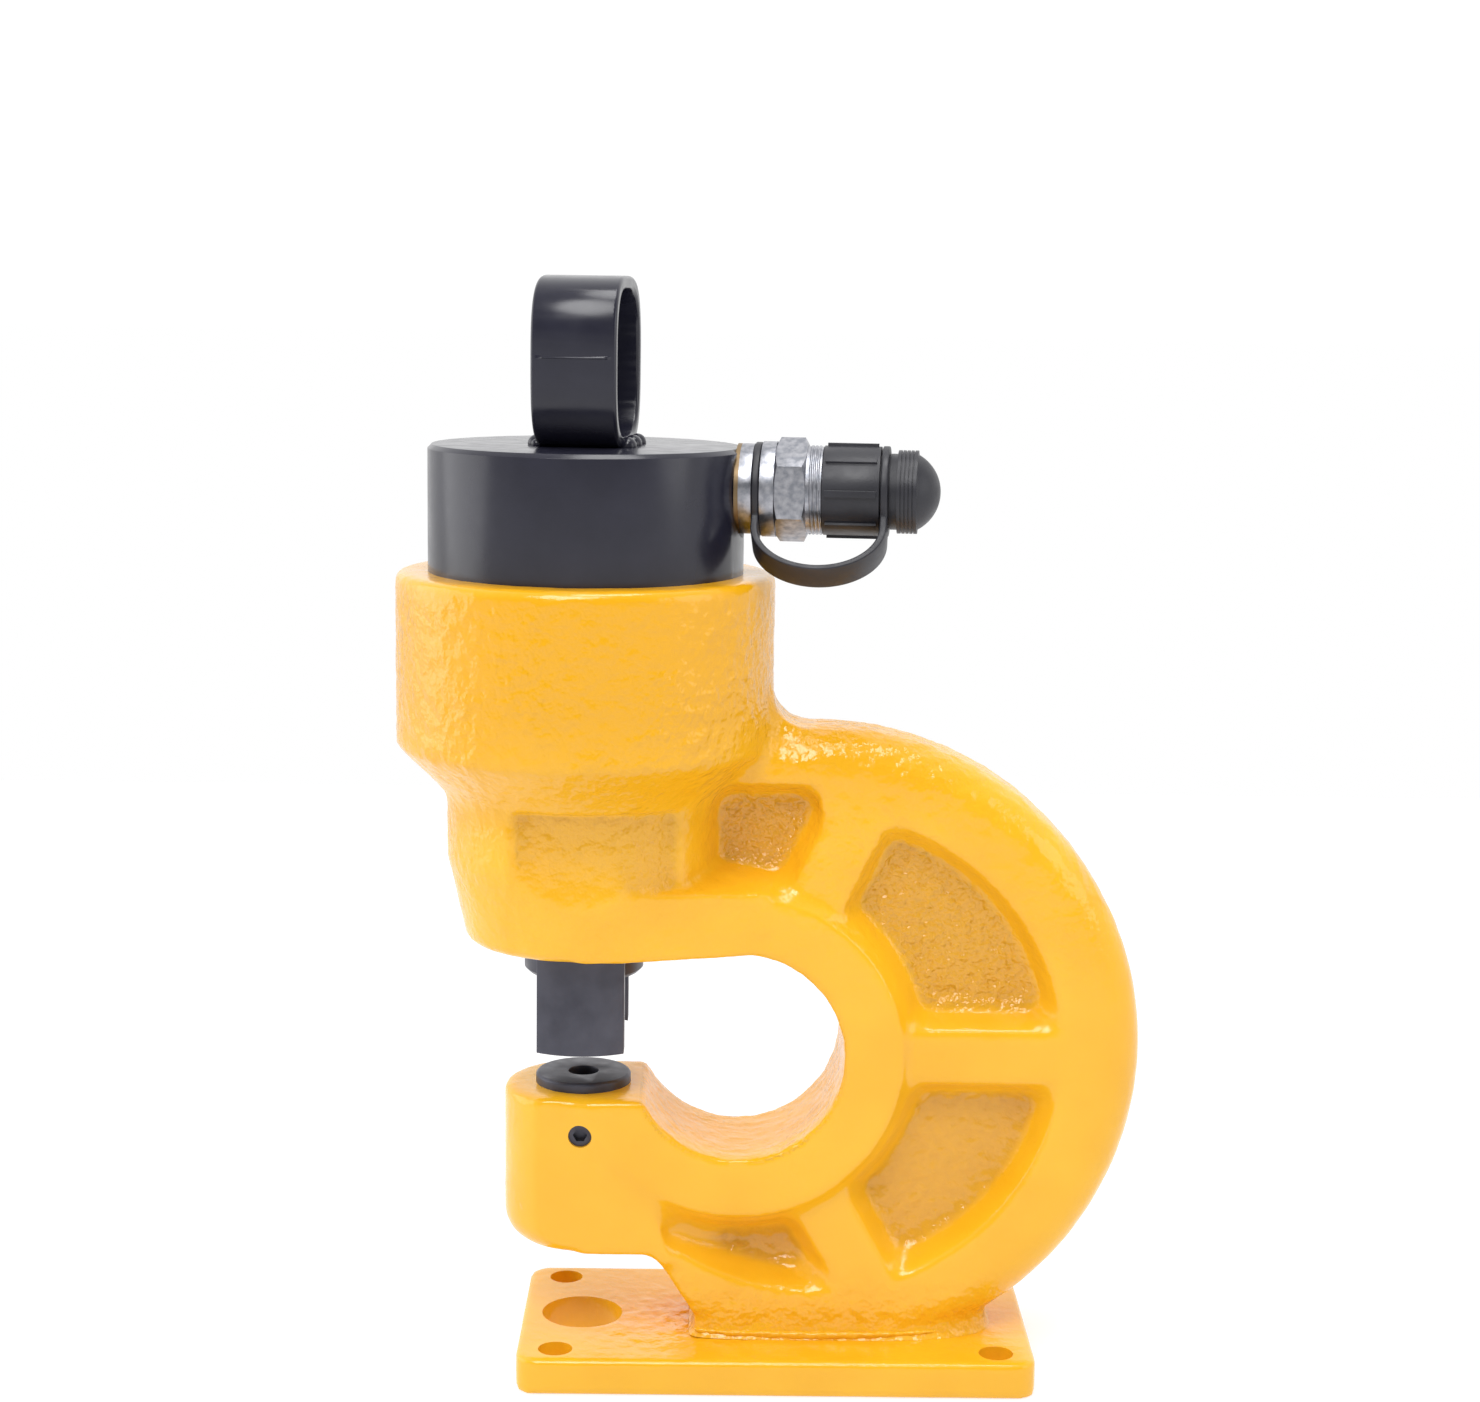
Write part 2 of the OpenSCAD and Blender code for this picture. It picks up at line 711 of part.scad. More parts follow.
module ram() {
    color(steel) difference() {
        rotate_extrude() polygon([[0, ram_end_z], [ram_thread_r, ram_end_z], [ram_thread_r, nut_z + nut_h],
            [ram_r, nut_z + nut_h + pass_gap], [ram_r, piston_z], [piston_r - piston_edge, piston_z],
            [piston_r, piston_z + piston_edge], [piston_r, piston_top - piston_edge],
            [piston_r - piston_edge, piston_top], [0, piston_top]]);
        translate([0, 0, seal_z]) tube(bore_r + over, piston_r - seal_depth, seal_h);
        translate([0, 0, seal_z - backup_h]) tube(bore_r + over, piston_r - seal_depth, backup_h + over);
        translate([0, 0, band_z]) tube(bore_r + over, piston_r - band_depth, band_h);
    }
}

module piston_seal() {
    color(seal_green) translate([0, 0, seal_z])
        tube(bore_r - slide_gap, piston_r - seal_depth + seat_gap, seal_h);
}

module backup_ring() {
    color(zinc) translate([0, 0, seal_z - backup_h])
        tube(bore_r - slide_gap, piston_r - seal_depth + seat_gap, backup_h);
}

module wear_band() {
    color(bronze) translate([0, 0, band_z])
        tube(bore_r - slide_gap, piston_r - band_depth + seat_gap, band_h);
}

module return_spring() {
    color(steel) translate([0, 0, spring_z]) coil(spring_r, spring_wire, spring_l, spring_turns);
}

module guide_bush() {
    color(bronze) difference() {
        union() {
            translate([0, 0, bush_bottom]) cylinder(h = bush_top - bush_bottom, r = bush_r);
            translate([0, 0, chamber_floor]) cylinder(h = bush_flange_t, r = bush_flange_r);
        }
        translate([0, 0, bush_bottom - over])
            cylinder(h = bush_top - bush_bottom + 2 * over, r = ram_r + slide_gap);
    }
}

module ram_wiper() {
    color(rubber) translate([0, 0, wiper_z]) tube(bush_r, ram_r + slide_gap, wiper_h);
}

module punch_nut() {
    seat_z = ram_end_z - punch_base_h;
    head_r = punch_head_r + pass_gap;
    color(blued) difference() {
        rotate_extrude() polygon([[nut_lip_r, nut_z], [nut_r - nut_bevel, nut_z], [nut_r, nut_z + nut_bevel],
            [nut_r, nut_z + nut_h - nut_bevel], [nut_r - nut_bevel, nut_z + nut_h],
            [ram_thread_r + seat_gap, nut_z + nut_h], [ram_thread_r + seat_gap, ram_end_z - nut_lip / 2],
            [head_r, ram_end_z - nut_lip / 2], [head_r, seat_z], [nut_lip_r, nut_z + nut_lip]]);
        for (a = [0:90:270]) rotate(a) translate([nut_r - nut_pin_depth, 0, nut_z + nut_h / 2])
            rotate([0, 90, 0]) cylinder(h = nut_pin_depth + over, r = nut_pin_r);
    }
}

// Turned punch: a head under the nut, a flared shoulder and a straight tip with a centring point
module punch() {
    tip_z = ram_end_z - punch_l;
    neck_z = ram_end_z - punch_base_h - punch_neck_h;
    shoulder_r1 = nut_lip_r - pass_gap;
    color(blued) rotate_extrude() {
        polygon([[0, tip_z - punch_point_h], [punch_point_h / 2, tip_z], [punch_r, tip_z], [punch_r, neck_z],
            [0, neck_z]]);
        difference() {
            polygon([[0, neck_z - over], [punch_r, neck_z - over], [punch_r, neck_z],
                [shoulder_r1, nut_z + nut_lip - pass_gap], [punch_head_r, ram_end_z - punch_base_h + pass_gap],
                [punch_head_r, ram_end_z], [0, ram_end_z]]);
            translate([punch_r + punch_fillet_r, neck_z]) circle(punch_fillet_r);
        }
    }
}

module stripper() {
    color(blued) {
        translate([0, 0, nose_bottom]) tube(stripper_r, stripper_bore_r, stripper_ring_h);
        intersection() {
            translate([0, 0, stripper_foot_z])
                tube(stripper_r, stripper_bore_r, nose_bottom - stripper_foot_z + over);
            translate([-stripper_leg_w / 2, -stripper_r - over, stripper_foot_z - over])
                cube([stripper_leg_w, 2 * (stripper_r + over), nose_bottom - stripper_foot_z + 2 * over]);
        }
    }
}

module die() {
    top = die_seat + die_h;
    color(blued) rotate_extrude() polygon([[die_bore_r, top], [die_r - die_edge, top], [die_r, top - die_edge],
        [die_r, die_groove_z + die_groove_w / 2], [die_r - die_groove_depth, die_groove_z + die_groove_w / 2],
        [die_r - die_groove_depth, die_groove_z - die_groove_w / 2], [die_r, die_groove_z - die_groove_w / 2],
        [die_r, die_seat + die_edge], [die_r - die_edge, die_seat], [die_bore_r + die_relief, die_seat],
        [die_bore_r + die_relief, top - die_land - die_relief], [die_bore_r, top - die_land]]);
}

// Dog-point screw that holds the die by its groove
module die_set_screw() {
    tip_y = die_r - die_groove_depth + seat_gap;
    body_y = die_r + pass_gap;
    head_y = arm_flat_t / 2 - screw_sink;
    color(blued) cross_axis(0, die_groove_z) difference() {
        union() {
            translate([0, 0, tip_y]) cylinder(h = body_y - tip_y + over, r = screw_dog_r);
            translate([0, 0, body_y]) cylinder(h = head_y - body_y, r = set_screw_r);
        }
        translate([0, 0, head_y - screw_hex_depth])
            cylinder(h = screw_hex_depth + over, r = screw_hex_r, $fn = 6);
    }
}

module port_seal() {
    color(bronze) coupler_axis() translate([0, 0, spot_x]) tube(flange_r, port_r + seat_gap, port_seal_t);
}

// Male half of the coupler: threaded shank, flange, tether groove, collar, hexagon, neck and spigot
module coupler_body() {
    hex_r = coupler_af / sqrt(3);
    flat_r = coupler_af / 2;
    way_x = spot_x - port_l - over;
    color(zinc) coupler_axis() difference() {
        union() {
            translate([0, 0, spot_x - port_l]) cylinder(h = port_l + port_seal_t + over, r = port_r);
            translate([0, 0, flange_x]) cylinder(h = flange_l, r = flange_r);
            translate([0, 0, tether_groove_x - over])
                cylinder(h = tether_groove_l + 2 * over, r = tether_groove_r);
            translate([0, 0, collar_x]) cylinder(h = collar_l, r = collar_r);
            translate([0, 0, hex_x]) intersection() {
                cylinder(h = hex_l, r = hex_r, $fn = 6);
                rotate_extrude() polygon([[0, 0], [flat_r, 0], [flat_r + 2 * hex_bevel, hex_bevel],
                    [flat_r + 2 * hex_bevel, hex_l - hex_bevel], [flat_r, hex_l], [0, hex_l]]);
            }
            translate([0, 0, coupler_neck_x - over]) cylinder(h = coupler_neck_l + over, r = coupler_neck_r);
            translate([0, 0, spigot_x - over]) cylinder(h = spigot_l + over, r = spigot_r);
        }
        translate([0, 0, way_x]) cylinder(h = spider_x - way_x + over, r = oil_way_r);
        translate([0, 0, spider_x]) cylinder(h = poppet_end - spider_x, r = valve_r);
        translate([0, 0, poppet_end - over]) cylinder(h = valve_mouth_l + 2 * over, r = valve_mouth_r);
    }
}

module coupler_poppet() {
    body_x = poppet_end - poppet_seal_t - poppet_l;
    color(steel) coupler_axis() {
        translate([0, 0, body_x]) cylinder(h = poppet_l, r = poppet_r);
        translate([0, 0, body_x - poppet_stem_l + poppet_l / 2]) cylinder(h = poppet_stem_l, r = poppet_stem_r);
        translate([0, 0, body_x + poppet_l - over])
            cylinder(h = poppet_seal_t + valve_mouth_l + over - pass_gap, r = poppet_nose_r);
    }
}

module poppet_seal() {
    color(rubber) coupler_axis() translate([0, 0, poppet_end - poppet_seal_t])
        tube(poppet_r, poppet_nose_r + seat_gap, poppet_seal_t);
}

module coupler_spring() {
    color(steel) coupler_axis() translate([0, 0, spring_seat_x])
        coil(coil_r, coil_wire, coil_l, coil_turns);
}

module spring_spider() {
    color(steel) coupler_axis() translate([0, 0, spider_x]) difference() {
        cylinder(h = spider_t, r = valve_r - seat_gap);
        translate([0, 0, -over]) cylinder(h = spider_t + 2 * over, r = poppet_stem_r + pass_gap);
        for (i = [0:spider_holes - 1]) rotate(360 * i / spider_holes)
            translate([valve_r * spider_hole_share, 0, -over])
                cylinder(h = spider_t + 2 * over, r = spider_hole_r);
    }
}

// Screw-on cap: ribbed skirt, tether groove, ringed band and domed end
module dust_cap() {
    skirt_floor = spigot_x + spigot_l + cap_gap;
    ring_pitch = cap_band_l / cap_rings;
    color(rubber) coupler_axis() difference() {
        union() {
            translate([0, 0, cap_x]) cylinder(h = cap_skirt_l, r = cap_r);
            for (i = [0:cap_ribs - 1]) rotate(360 * i / cap_ribs)
                translate([cap_r - cap_rib_h, -cap_rib_w / 2, cap_x + cap_rib_h])
                    cube([2 * cap_rib_h, cap_rib_w, cap_skirt_l - 2 * cap_rib_h]);
            translate([0, 0, cap_groove_x - over]) cylinder(h = cap_groove_l + 2 * over, r = cap_groove_r);
            translate([0, 0, cap_groove_x + cap_groove_l])
                cylinder(h = cap_band_x - cap_groove_x - cap_groove_l + over, r = cap_neck_r);
            translate([0, 0, cap_band_x]) rotate_extrude() difference() {
                square([cap_band_r, cap_band_l]);
                for (i = [1:cap_rings - 1])
                    translate([cap_band_r - cap_ring_depth, ring_pitch * (i - cap_ring_share / 2)])
                        square([cap_ring_depth + over, ring_pitch * cap_ring_share]);
            }
            intersection() {
                translate([0, 0, cap_end - cap_dome_r]) sphere(cap_dome_r);
                translate([0, 0, cap_band_x + cap_band_l - over])
                    cylinder(h = cap_dome_r, r = cap_band_r - cap_ring_depth);
            }
        }
        translate([0, 0, cap_x - over]) cylinder(h = skirt_floor - cap_x + over, r = cap_bore_r);
    }
}

// Moulded rubber tether: a ring on the coupler, a ring on the cap and a hanging strap between them
module cap_tether() {
    color(rubber) coupler_axis() rotate([0, 0, -strap_swing]) {
        translate([0, 0, tether_groove_x + (tether_groove_l - strap_t) / 2])
            tube(tether_groove_r + tether_ring_w, tether_groove_r + seat_gap, strap_t);
        translate([0, 0, cap_groove_x + (cap_groove_l - strap_t) / 2])
            tube(cap_groove_r + tether_ring_w, cap_groove_r + pass_gap / 2, strap_t);
        for (s = [-1, 1])
            translate([strap_root, -strap_w / 2, strap_mid_x + s * strap_r - strap_t / 2])
                cube([strap_drop - strap_root, strap_w, strap_t]);
        translate([strap_drop, 0, strap_mid_x]) rotate([90, 0, 0]) rotate([0, 0, -90])
            rotate_extrude(angle = 180) translate([strap_r - strap_t / 2, -strap_w / 2])
                square([strap_t, strap_w]);
    }
}

frame_head();
frame_crown();
frame_back();
frame_arm();
base_plate();
base_weld();
oil_cylinder();  // cylinder
lift_ring();
lift_ring_weld();
ram();
piston_seal();
backup_ring();
wear_band();
return_spring();
guide_bush();
ram_wiper();
punch_nut();
punch();
stripper();
die();
die_set_screw();
port_seal();
coupler_body();
coupler_poppet();
poppet_seal();
coupler_spring();
spring_spider();
dust_cap();
cap_tether();
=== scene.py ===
import bpy
import json
import math
from mathutils import Matrix, Vector


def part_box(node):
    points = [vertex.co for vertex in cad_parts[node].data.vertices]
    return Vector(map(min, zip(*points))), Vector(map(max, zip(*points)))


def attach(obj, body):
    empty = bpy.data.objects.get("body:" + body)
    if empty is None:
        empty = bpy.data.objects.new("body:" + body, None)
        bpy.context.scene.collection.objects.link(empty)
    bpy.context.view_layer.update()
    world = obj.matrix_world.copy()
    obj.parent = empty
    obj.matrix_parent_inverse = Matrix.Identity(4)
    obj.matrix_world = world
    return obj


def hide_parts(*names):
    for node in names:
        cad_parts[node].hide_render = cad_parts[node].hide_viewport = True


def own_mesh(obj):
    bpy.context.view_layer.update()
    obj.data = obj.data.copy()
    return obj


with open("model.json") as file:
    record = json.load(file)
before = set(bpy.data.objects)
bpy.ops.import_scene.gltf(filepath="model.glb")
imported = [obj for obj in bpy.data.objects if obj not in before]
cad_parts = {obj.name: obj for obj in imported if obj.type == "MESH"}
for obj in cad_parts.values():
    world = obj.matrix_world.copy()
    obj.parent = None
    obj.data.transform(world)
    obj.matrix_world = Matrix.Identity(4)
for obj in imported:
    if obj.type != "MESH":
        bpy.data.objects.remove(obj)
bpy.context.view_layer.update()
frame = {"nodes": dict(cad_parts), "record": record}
scene = bpy.context.scene
mm = 0.001
mergeReach = 0.002 * mm
print("frame loaded:", len(frame["nodes"]), "nodes")


# small helpers for working on one object at a time
def pick(piece):
    if bpy.context.object and bpy.context.object.mode != "OBJECT":
        bpy.ops.object.mode_set(mode="OBJECT")
    bpy.ops.object.select_all(action="DESELECT")
    piece.select_set(True)
    bpy.context.view_layer.objects.active = piece


def editWhole(piece):
    pick(piece)
    bpy.ops.object.mode_set(mode="EDIT")
    bpy.ops.mesh.select_all(action="SELECT")


def finishWith(piece, kind, **settings):
    pick(piece)
    modifier = piece.modifiers.new(kind.lower(), kind)
    for key, value in settings.items():
        setattr(modifier, key, value)
    bpy.ops.object.modifier_apply(modifier=modifier.name)


def remesh(piece, size):
    finishWith(piece, "REMESH", mode="VOXEL", voxel_size=size, adaptivity=0)


def soften(piece, rounds, group=""):
    finishWith(piece, "SMOOTH", factor=0.5, iterations=rounds, vertex_group=group)


def roughen(piece, name, clouds, group=""):
    texture = bpy.data.textures.new(name, "CLOUDS")
    texture.noise_scale = clouds["size"]
    if "octaves" in clouds:
        texture.noise_depth = clouds["octaves"]
    finishWith(piece, "DISPLACE", texture=texture, strength=clouds["height"], mid_level=clouds["middle"],
               vertex_group=group)


def combine(piece, other, operation):
    finishWith(piece, "BOOLEAN", object=other, operation=operation, solver="MANIFOLD")
    pick(other)
    bpy.ops.object.delete()


def mergedCopy(node, name):
    pick(frame["nodes"][node])
    bpy.ops.object.duplicate()
    piece = bpy.context.object
    piece.name = name
    piece.data.name = name
    piece.parent = None
    for key in list(piece.keys()):
        del piece[key]
    editWhole(piece)
    bpy.ops.mesh.remove_doubles(threshold=mergeReach)
    bpy.ops.object.mode_set(mode="OBJECT")
    return piece


def flattenFaces(piece, angle):
    editWhole(piece)
    bpy.ops.mesh.dissolve_limited(angle_limit=math.radians(angle))
    bpy.ops.object.mode_set(mode="OBJECT")


def smoothShade(piece, angle):
    pick(piece)
    bpy.ops.object.shade_smooth_by_angle(angle=math.radians(angle))


def countTriangles(piece):
    return sum(len(face.vertices) - 2 for face in piece.data.polygons)


def ramp(value, start, length):
    return max(0, min(1, (value - start) / length))


def markGroup(piece, name, weight):
    group = piece.vertex_groups.new(name=name)
    for vertex in piece.data.vertices:
        amount = weight(vertex.co)
        if amount > 0:
            group.add([vertex.index], amount, "REPLACE")


def markPoints(piece, name, weight):
    mark = piece.data.attributes.new(name, "FLOAT", "POINT")
    for vertex in piece.data.vertices:
        mark.data[vertex.index].value = weight(vertex.co)


def wear(piece, material):
    piece.data.materials.clear()
    piece.data.materials.append(material)


# photograph's camera
photoView = {
    "place": (0.047707, -0.941549, 0.395796),
    "yaw": 0.501,
    "pitch": 9.033,
    "roll": 0.831,
    "focalPixels": 2632.242,
    "imageWidth": 1480,
    "sensor": 36.0,
    "clipStart": 0.05,
}


def makeCamera(view):
    yaw = math.radians(view["yaw"])
    pitch = math.radians(view["pitch"])
    roll = math.radians(view["roll"])
    ahead = Vector((math.sin(yaw) * math.cos(pitch), math.cos(yaw) * math.cos(pitch), -math.sin(pitch)))
    level = Vector((math.cos(yaw), -math.sin(yaw), 0))
    down = ahead.cross(level)
    across = math.cos(roll) * level - math.sin(roll) * down
    up = -math.sin(roll) * level - math.cos(roll) * down
    turn = Matrix((across, up, -ahead)).transposed().to_4x4()
    bpy.ops.object.camera_add()
    camera = bpy.context.object
    camera.name = "photoCamera"
    camera.data.sensor_width = view["sensor"]
    camera.data.lens = view["focalPixels"] / view["imageWidth"] * view["sensor"]
    camera.data.clip_start = view["clipStart"]
    camera.matrix_world = Matrix.Translation(view["place"]) @ turn
    scene.camera = camera


makeCamera(photoView)
print("camera placed")

# floor and soft studio light
studio = {
    "floorSize": 2.2,
    "floorHeight": -0.2 * mm,
    "floorColour": (0.42, 0.42, 0.43, 1),
    "floorRoughness": 0.7,
    "floorGlow": 0.62,
    "white": (1, 1, 1, 1),
    "skyFront": 0.15,
    "skyBack": 1.25,
    "skyTurn": (-0.8, 0.6),
    "skyBelow": 1.0,
    "skyRise": (-0.02, 0.15),
    "lights": [
        ("leftSoftbox", (-1.15, 0.1, 0.5), 1.1, 4.5),
        ("rightSoftbox", (1.3, -0.5, 0.7), 0.8, 2.5),
        ("frontSoftbox", (-0.2, -1.05, 1.45), 0.9, 16),
        ("topLight", (0.15, -0.15, 1.25), 0.5, 4),
    ],
    "aim": (0.05, 0, 0.2),
}


def makeFloor(setup):
    bpy.ops.object.select_all(action="DESELECT")
    bpy.ops.mesh.primitive_plane_add(size=setup["floorSize"], location=(0, 0, setup["floorHeight"]))
    floor = bpy.context.object
    floor.name = "studioFloor"
    paper = bpy.data.materials.new("studioPaper")
    paper.use_nodes = True
    shader = paper.node_tree.nodes["Principled BSDF"]
    shader.inputs["Base Color"].default_value = setup["floorColour"]
    shader.inputs["Roughness"].default_value = setup["floorRoughness"]
    shader.inputs["Emission Color"].default_value = setup["white"]
    shader.inputs["Emission Strength"].default_value = setup["floorGlow"]
    wear(floor, paper)


def makeLights(setup):
    for name, place, size, power in setup["lights"]:
        bpy.ops.object.light_add(type="AREA", location=place)
        light = bpy.context.object
        light.name = name
        light.data.shape = "DISK"
        light.data.size = size
        light.data.energy = power
        heading = Vector(setup["aim"]) - Vector(place)
        light.rotation_euler = heading.to_track_quat("-Z", "Y").to_euler()


# sky is dim behind the viewer and bright behind the object, with an even glow below the horizon
def makeSky(setup):
    world = bpy.data.worlds.new("studioSky")
    world.use_nodes = True
    tree = world.node_tree
    sky = tree.nodes["Background"]
    sky.inputs["Color"].default_value = setup["white"]
    heading = tree.nodes.new("ShaderNodeTexCoord")
    parts = tree.nodes.new("ShaderNodeSeparateXYZ")
    span = tree.nodes.new("ShaderNodeMapRange")
    span.inputs["From Min"].default_value = setup["skyTurn"][0]
    span.inputs["From Max"].default_value = setup["skyTurn"][1]
    span.inputs["To Min"].default_value = setup["skyFront"]
    span.inputs["To Max"].default_value = setup["skyBack"]
    rise = tree.nodes.new("ShaderNodeMapRange")
    rise.inputs["From Min"].default_value = setup["skyRise"][0]
    rise.inputs["From Max"].default_value = setup["skyRise"][1]
    rise.inputs["To Min"].default_value = setup["skyBelow"]
    tree.links.new(heading.outputs["Generated"], parts.inputs["Vector"])
    tree.links.new(parts.outputs["Y"], span.inputs["Value"])
    tree.links.new(parts.outputs["Z"], rise.inputs["Value"])
    tree.links.new(span.outputs["Result"], rise.inputs["To Max"])
    tree.links.new(rise.outputs["Result"], sky.inputs["Strength"])
    scene.world = world


makeFloor(studio)
makeLights(studio)
makeSky(studio)
scene.view_settings.view_transform = "Standard"
print("studio lit")


# materials
def newMaterial(name):
    material = bpy.data.materials.new(name)
    material.use_nodes = True
    tree = material.node_tree
    return material, tree, tree.nodes["Principled BSDF"]


def addNode(tree, kind, **settings):
    node = tree.nodes.new(kind)
    for key, value in settings.items():
        if key in node.inputs:
            node.inputs[key].default_value = value
        else:
            setattr(node, key, value)
    return node


def objectSpot(tree):
    return addNode(tree, "ShaderNodeTexCoord").outputs["Object"]


def readMark(tree, name):
    return addNode(tree, "ShaderNodeAttribute", attribute_name=name).outputs["Fac"]


def noise(tree, spot, scale, detail):
    node = addNode(tree, "ShaderNodeTexNoise", Scale=scale, Detail=detail, Roughness=0.5)
    tree.links.new(spot, node.inputs["Vector"])
    return node.outputs["Fac"]


def multiply(tree, first, second):
    node = addNode(tree, "ShaderNodeMath", operation="MULTIPLY")
    tree.links.new(first, node.inputs[0])
    tree.links.new(second, node.inputs[1])
    return node.outputs[0]


def blendColours(tree, factor, first, second):
    node = addNode(tree, "ShaderNodeMix", data_type="RGBA")
    tree.links.new(factor, node.inputs["Factor"])
    for socket, colour in (("A", first), ("B", second)):
        entry = [s for s in node.inputs if s.name == socket and s.type == "RGBA"][0]
        if isinstance(colour, tuple):
            entry.default_value = (*colour, 1)
        else:
            tree.links.new(colour, entry)
    return [s for s in node.outputs if s.type == "RGBA"][0]


def remap(tree, value, old, new=(0, 1)):
    node = addNode(tree, "ShaderNodeMapRange")
    for key, number in zip(("From Min", "From Max", "To Min", "To Max"), (*old, *new)):
        node.inputs[key].default_value = number
    tree.links.new(value, node.inputs["Value"])
    return node.outputs["Result"]


def addBump(tree, height, strength, distance, before=None):
    node = addNode(tree, "ShaderNodeBump", Strength=strength, Distance=distance)
    tree.links.new(height, node.inputs["Height"])
    if before:
        tree.links.new(before, node.inputs["Normal"])
    return node.outputs["Normal"]


# a bump is its strength and its depth, a range is the stretch of a noise or height that is used
yellowPaint = {
    "bright": (0.9, 0.475, 0.016),
    "deep": (0.86, 0.43, 0.011),
    # upper: darker paint from the barrel up, painted shade standing in for the weaker light there
    "upper": (0.77, 0.375, 0.006),
    # pocket: darker, browner colour of the pocket floors and the neck panel, partly their rough-cast tone and
    # partly painted shade of the recesses
    "pocket": (0.72, 0.36, 0.026),
    "detail": 2,
    "patchScale": 30,
    "patchRange": (0.35, 0.7),
    "upperShadeRange": (0.2, 0.25),
    "castScale": 300,
    "castRange": (0.35, 0.65),
    "castShares": (1.0, 0.82),
    "castBump": (1.0, 2.2 * mm),
    "sandedRange": (0.12, 0.14),
    "sandedShares": (0.25, 1.0),
    "glossScale": 90,
    "glossDetail": 3,
    "glossRange": (0.3, 0.7),
    "gloss": (0.14, 0.22),
    "peelScale": 210,
    "peelBump": (0.85, 2.0 * mm),
    "runScale": 22,
    "runRange": (0.4, 0.65),
    "runShares": (0.35, 1.0),
    "fineScale": 620,
    "fineBump": (0.12, 0.5 * mm),
    "shine": 0.55,
}


def makeYellowEnamel(look):
    material, tree, shader = newMaterial("yellowEnamel")
    spot = objectSpot(tree)
    parts = addNode(tree, "ShaderNodeSeparateXYZ")
    tree.links.new(spot, parts.inputs[0])
    height = parts.outputs["Z"]
    # mark of the pocket floors and neck panel: drives their rough bump and their darker colour, the colour
    # partly painted shade
    roughAndShade = readMark(tree, "castRoughAndShade")
    grains = noise(tree, spot, look["castScale"], look["detail"])

    patches = remap(tree, noise(tree, spot, look["patchScale"], look["detail"]), look["patchRange"])
    paint = blendColours(tree, patches, look["bright"], look["deep"])
    # painted shade: the paint turns to the darker upper colour from 0.2 m up, for the weaker light on the
    # barrel
    paint = blendColours(tree, remap(tree, height, look["upperShadeRange"]), paint, look["upper"])
    speckle = remap(tree, grains, look["castRange"], look["castShares"])
    # pocket floors and the neck panel take the pocket colour: partly rough-cast tone, partly painted shade in
    # the recesses
    colour = blendColours(tree, multiply(tree, roughAndShade, speckle), paint, look["pocket"])
    tree.links.new(colour, shader.inputs["Base Color"])
    shine = noise(tree, spot, look["glossScale"], look["glossDetail"])
    tree.links.new(remap(tree, shine, look["glossRange"], look["gloss"]), shader.inputs["Roughness"])
    shader.inputs["Specular IOR Level"].default_value = look["shine"]

    runs = noise(tree, spot, look["runScale"], look["detail"])
    runs = multiply(tree, readMark(tree, "paintPeel"), remap(tree, runs, look["runRange"], look["runShares"]))
    peel = multiply(tree, noise(tree, spot, look["peelScale"], look["detail"]), runs)
    normal = addBump(tree, peel, *look["peelBump"])
    normal = addBump(tree, noise(tree, spot, look["fineScale"], look["detail"]), *look["fineBump"], normal)
    sanded = multiply(tree, remap(tree, height, look["sandedRange"], look["sandedShares"]), roughAndShade)
    normal = addBump(tree, multiply(tree, sanded, grains), *look["castBump"], normal)
    tree.links.new(normal, shader.inputs["Normal"])
    return material


# other finishes: colour from dark to light, roughness from low to high, and a faint bump
coatings = {
    "black_enamel": {"name": "blackEnamel", "dark": (0.012, 0.012, 0.022), "light": (0.016, 0.016, 0.028),
                     "gloss": (0.2, 0.27), "peelScale": 160, "peel": 0.03},
    "blued_steel": {"name": "bluedSteel", "dark": (0.05, 0.05, 0.065), "light": (0.08, 0.08, 0.1),
                    "gloss": (0.32, 0.46), "peelScale": 900, "peel": 0.05, "metal": 0.6},
    "chromed_ram": {"name": "hardChrome", "dark": (0.6, 0.61, 0.64), "light": (0.7, 0.71, 0.73),
                    "gloss": (0.1, 0.18), "peelScale": 900, "peel": 0.02, "metal": 1.0},
    "zinc": {"name": "zincPlate", "dark": (0.25, 0.26, 0.29), "light": (0.44, 0.44, 0.47),
             "gloss": (0.28, 0.42), "peelScale": 1200, "peel": 0.08, "metal": 1.0, "mottle": 420},
    "steel": {"name": "springSteel", "dark": (0.34, 0.35, 0.37), "light": (0.46, 0.47, 0.49),
              "gloss": (0.28, 0.4), "peelScale": 900, "peel": 0.05, "metal": 1.0},
    "bronze": {"name": "bearingBronze", "dark": (0.2, 0.14, 0.08), "light": (0.28, 0.2, 0.11),
               "gloss": (0.4, 0.55), "peelScale": 800, "peel": 0.04, "metal": 1.0},
    "rubber": {"name": "blackRubber", "dark": (0.012, 0.012, 0.017), "light": (0.02, 0.02, 0.027),
               "gloss": (0.38, 0.54), "peelScale": 1100, "peel": 0.08},
    "seal": {"name": "greenSeal", "dark": (0.03, 0.17, 0.09), "light": (0.05, 0.24, 0.13),
             "gloss": (0.35, 0.45), "peelScale": 900, "peel": 0.03},
    "ptfe": {"name": "whiteRing", "dark": (0.74, 0.74, 0.71), "light": (0.82, 0.82, 0.8),
             "gloss": (0.4, 0.5), "peelScale": 900, "peel": 0.03},
}
coatGrain = {
    "mottle": 60,
    "mottleRange": (0.35, 0.7),
    "glossScale": 140,
    "glossRange": (0.3, 0.7),
    "detail": 4,
    "peelDetail": 3,
    "peelDepth": 0.4 * mm,
}


